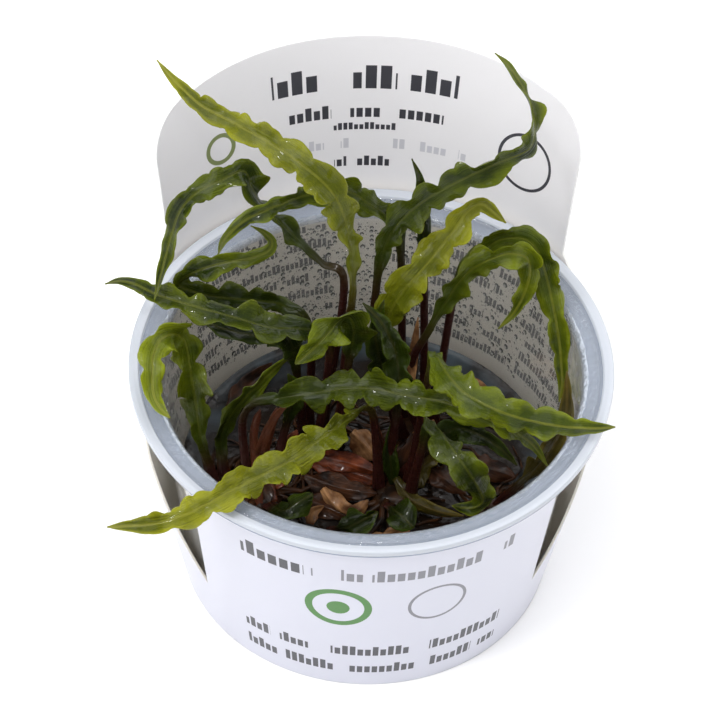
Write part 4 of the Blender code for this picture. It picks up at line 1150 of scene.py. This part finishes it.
finishes = {
    "leaf_bright": leaf_finish("wet bright leaf", "#8f901c", "#4a5008", "#83822c"),
    "leaf_fresh": leaf_finish("wet fresh leaf", "#7a8414", "#333f07", "#7a7c28"),
    "leaf_mid": leaf_finish("wet green leaf", "#65700f", "#1e2904", "#5e621e"),
    "leaf_dark": leaf_finish("wet dark leaf", "#3e4e0a", "#121a03", "#3a3a12"),
    "leaf_olive": leaf_finish("wet olive leaf", "#665a18", "#2c260a", "#5a4a20"),
    "stalk_wine": leaf_finish("wet wine stalk", "#6a3a20", "#2e130b", "#5a3320", "#50291a"),
    "dead_tan": dead_finish("soft tan dead leaf", "#b08257", "#50301a"),
    "dead_rust": dead_finish("soft rust dead leaf", "#7c3c20", "#2c110a"),
    "dead_brown": dead_finish("sunken brown leaf", "#4a2b18", "#170c07"),
}

# %% Make the leaves
run_length = 0.0
for name, leaf in LEAVES.items():
    piece, length = roll_leaf("grown_" + name, **leaf)
    stand_for(piece, name, [finishes[leaf.get("finish", leaf["color"])]])
    run_length += length
print("leaves and stalks:", len(LEAVES), "with", round(run_length), "mm of midrib")

# %% Make the dead pieces
for name, leaf in LITTER.items():
    piece, length = roll_leaf("fallen_" + name, ruffle=0.45, thickness=0.8, **leaf)
    stand_for(piece, name, [finishes[leaf["color"]]])

# %% [markdown]
# Smaller dead pieces fill the gaps between these. They are part of the same soft litter,
# and each is placed where one shows in the view. Old thick stems stand among them.

# %% Small litter
SMALL_LITTER = {
    "curl_tan_right": dict(width=4.8, turns=(0, 40), color="leaf_olive",
                           seen=[(420, 488, 24.5), (421, 470, 27), (432, 455, 29), (447, 447, 30.5)]),
    "curl_brown_right": dict(width=5.4, turns=(20, 0), color="dead_brown",
                             seen=[(430, 470, 25.5), (446, 480, 26.4), (466, 494, 25)]),
    "band_olive": dict(width=3.4, turns=(0, 20), color="leaf_olive",
                       seen=[(396, 478, 27), (410, 498, 25.4), (434, 510, 24.6), (464, 516, 23.4)]),
    "bit_orange_left": dict(width=2.8, turns=(0, 50), color="dead_tan",
                            seen=[(310, 524, 22.9), (313, 512, 24.6), (324, 506, 24.8)]),
    "bit_orange_front": dict(width=3.4, turns=(0, 0), color="dead_tan",
                             seen=[(384, 537, 22.7), (396, 533, 23.4), (410, 531, 23)]),
    "bit_rust_left": dict(width=3.2, turns=(0, 0), color="dead_rust",
                          seen=[(287, 447, 27), (293, 438, 29), (297, 430, 30.5)]),
    "bit_tan_left": dict(width=2.8, turns=(0, 0), color="dead_rust",
                         seen=[(274, 488, 24.5), (282, 478, 25.6), (289, 468, 26)]),
    "sheet_pink_right": dict(width=5.0, turns=(0, 20), color="dead_rust",
                             seen=[(438, 448, 26), (455, 432, 29), (470, 417, 32)]),
    "sheet_brown_left": dict(width=5.0, turns=(0, 0), color="dead_brown",
                             seen=[(266, 510, 23), (260, 482, 27), (257, 456, 31)]),
    "sheet_brown_middle": dict(width=6.4, turns=(0, 0), color="dead_brown",
                               seen=[(304, 476, 23.2), (340, 488, 24), (378, 494, 24.4)]),
    "sheet_grey_left": dict(width=6.0, turns=(0, 0), color="dead_brown",
                            seen=[(300, 498, 22.6), (322, 506, 22.9), (352, 518, 22.6)]),
    "sheet_rust_middle": dict(width=5.0, turns=(0, 20), color="dead_rust",
                              seen=[(312, 456, 24.5), (346, 462, 26), (384, 474, 26.6)]),
    "sheet_tan_back": dict(width=4.4, turns=(0, 0), color="dead_tan",
                           seen=[(415, 446, 28), (424, 433, 30.5), (434, 420, 33)]),
    "sheet_broad_right": dict(width=6.2, turns=(0, 10), color="dead_brown",
                              seen=[(402, 478, 25), (412, 452, 29.5), (424, 426, 34)]),
    "sheet_brown_right": dict(width=6.4, turns=(0, 0), color="dead_brown",
                              seen=[(470, 462, 23.4), (494, 470, 23.8), (516, 478, 23)]),
    "stem_old_front": dict(width=3.6, turns=(0, 0), color="leaf_dark",
                           seen=[(393, 484, 25.5), (390, 452, 33), (394, 418, 41)]),
    "stem_old_left": dict(width=2.6, turns=(0, 0), color="stalk_wine",
                          seen=[(386, 480, 26), (380, 444, 34), (370, 412, 42)]),
    "stem_rust_back": dict(width=2.2, turns=(0, 0), color="dead_tan",
                           seen=[(411, 380, 40), (414, 350, 48), (418, 318, 57)]),
    "stem_arched_left": dict(width=2.4, turns=(0, 0), color="stalk_wine",
                             seen=[(258, 466, 30), (264, 440, 36), (276, 416, 42), (292, 400, 46)]),
}
for name, leaf in SMALL_LITTER.items():
    piece, length = roll_leaf("litter_" + name, ruffle=0.5, thickness=0.7, **leaf)
    piece.data.materials.append(finishes[leaf["color"]])
    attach(piece, "root")
print("small litter:", len(SMALL_LITTER), "pieces")

# %% [markdown]
# ## The tangle round the crowns
#
# Old stalks and roots lie in a tangle between the crowns. Each could be a leaf of its
# own. There are too many for that, so they are the splines of one curve with a round
# bevel, which is made a mesh at the end. Each starts at a crown and wanders out over the
# gel by a seeded draw.

# %% Old stalks and roots
STRANDS = 130
STRAND_POINTS = 9
STRAND_RADIUS = 0.45
STRAND_REACH = 33.0
draw = random.Random(5)
start_clean()
bpy.ops.curve.primitive_nurbs_path_add()
tangle = bpy.context.object
tangle.name = "tangled_roots"
tangle.data.splines.clear()
tangle.data.dimensions = '3D'
for number in range(STRANDS):
    x, y, radius, rise = draw.choice(list(CROWNS.values()))
    heading = draw.uniform(0.0, 2.0 * math.pi)
    lift = draw.uniform(0.4, rise + 0.5)
    spot = Vector((x + 0.7 * radius * math.cos(heading), y + 0.7 * radius * math.sin(heading), 0.0))
    step = draw.uniform(0.9, 2.6)
    thick = draw.uniform(0.5, 2.3)
    spline = tangle.data.splines.new('POLY')
    spline.points.add(STRAND_POINTS - 1)
    for i, point in enumerate(spline.points):
        share = i / (STRAND_POINTS - 1)
        height = GEL_LEVEL + 0.2 + lift * (1.0 - share) ** 1.5
        point.co = (*(Vector((spot.x, spot.y, height)) * MM), 1.0)
        point.radius = thick * (1.0 - 0.65 * share)
        heading += draw.gauss(0.0, 0.4)
        spot += Vector((math.cos(heading), math.sin(heading), 0.0)) * step
        if spot.length > STRAND_REACH:
            spot *= STRAND_REACH / spot.length
tangle.data.bevel_depth = STRAND_RADIUS * MM
tangle.data.bevel_resolution = 1
tangle.data.use_fill_caps = True
bpy.ops.object.convert(target='MESH')
tangle = name_piece("tangled_roots")
close_up()
tangle.data.materials.clear()
tangle.data.materials.append(dead_finish("old stalks and roots", "#442813", "#120905"))
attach(tangle, "root")
print("tangle:", STRANDS, "strands,", len(tangle.data.polygons), "faces")

# %% [markdown]
# ## Drops on the cup's wall
#
# Water from the gel gathers as drops on the inside of the wall, most of it at the back.
# One drop is a ball cut flat, with a few dozen faces. It is copied over the wall by a
# seeded draw, larger drops first, and no two touch.

# %% One drop
start_clean()
bpy.ops.mesh.primitive_ico_sphere_add(subdivisions=2, radius=1.0)
drop = name_piece("one_drop")
bpy.ops.object.mode_set(mode='EDIT')
bpy.ops.mesh.select_all(action='SELECT')
bpy.ops.mesh.bisect(plane_co=(0.0, 0.0, 0.0), plane_no=(0.0, 0.0, 1.0), use_fill=True, clear_inner=True)
bpy.ops.mesh.select_all(action='SELECT')
bpy.ops.mesh.quads_convert_to_tris()
bpy.ops.mesh.normals_make_consistent(inside=False)
bpy.ops.object.mode_set(mode='OBJECT')
drop_points = np.array([tuple(v.co) for v in drop.data.vertices])
drop_faces = np.array([tuple(f.vertices) for f in drop.data.polygons])
bpy.data.objects.remove(drop)
print("one drop:", len(drop_faces), "faces")

# %% Copy the drops over the wall
DROPS = 2600
LARGEST_DROP = 0.62
SMALLEST_DROP = 0.13
DROP_FLATNESS = 0.42
DROP_SINK = 0.02
draw = random.Random(11)
sizes = sorted((SMALLEST_DROP + (LARGEST_DROP - SMALLEST_DROP) * draw.random() ** 3.2 for _ in range(DROPS)),
               reverse=True)
placed = []
spots = np.zeros((DROPS, 3))
reaches = np.zeros(DROPS)
for size in sizes:
    for attempt in range(30):
        bearing = draw.gauss(90.0, 42.0) if draw.random() < 0.8 else draw.uniform(0.0, 360.0)
        height = draw.uniform(25.0, 53.5)
        radius = cup_inside(height)
        spot = Vector((radius * math.cos(math.radians(bearing)), radius * math.sin(math.radians(bearing)), height))
        gaps = np.linalg.norm(spots[:len(placed)] - np.array(spot), axis=1)
        if np.all(gaps > (reaches[:len(placed)] + size) * 1.05):
            spots[len(placed)] = spot
            reaches[len(placed)] = size
            placed.append((spot, size))
            break
all_points = []
all_faces = []
wall_lean = math.atan((CUP_NECK_RADIUS - CUP_BASE_RADIUS) / CUP_NECK_HEIGHT)
for spot, size in placed:
    outward = Vector((spot.x, spot.y, 0.0)).normalized()
    inward = (-outward * math.cos(wall_lean) + Vector((0.0, 0.0, 1.0)) * math.sin(wall_lean))
    level = Vector((0.0, 0.0, 1.0)).cross(inward).normalized()
    rise = inward.cross(level)
    axes = np.array([level * size, rise * size * 1.1, inward * size * DROP_FLATNESS])
    base = np.array(spot - inward * DROP_SINK)
    all_faces.append(drop_faces + len(all_points) * len(drop_points))
    all_points.append(drop_points @ axes + base)
mesh = bpy.data.meshes.new("wall_drops")
mesh.from_pydata((np.vstack(all_points) * MM).tolist(), [], np.vstack(all_faces).tolist())
drops = bpy.data.objects.new("wall_drops", mesh)
bpy.context.scene.collection.objects.link(drops)
drops.data.shade_smooth()

# %% Clear water
water_finish, tree, shader = new_finish("water drops", Roughness=0.0, IOR=1.333, Transmission_Weight=1.0)
place = add_node(tree, 'ShaderNodeTexCoord').outputs["Object"]
tint = add_node(tree, 'ShaderNodeTexNoise', inputs={"Vector": place, "Scale": 400.0})
mix = add_node(tree, 'ShaderNodeMix', {"data_type": 'RGBA'},
               {MIX_SHARE: tint.outputs[0], MIX_FIRST: srgb("#ffffff"), MIX_SECOND: srgb("#e9eef2")})
tree.links.new(mix.outputs[MIX_OUT], shader.inputs["Base Color"])
drops.data.materials.append(water_finish)
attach(drops, "root")
print("drops:", len(placed))
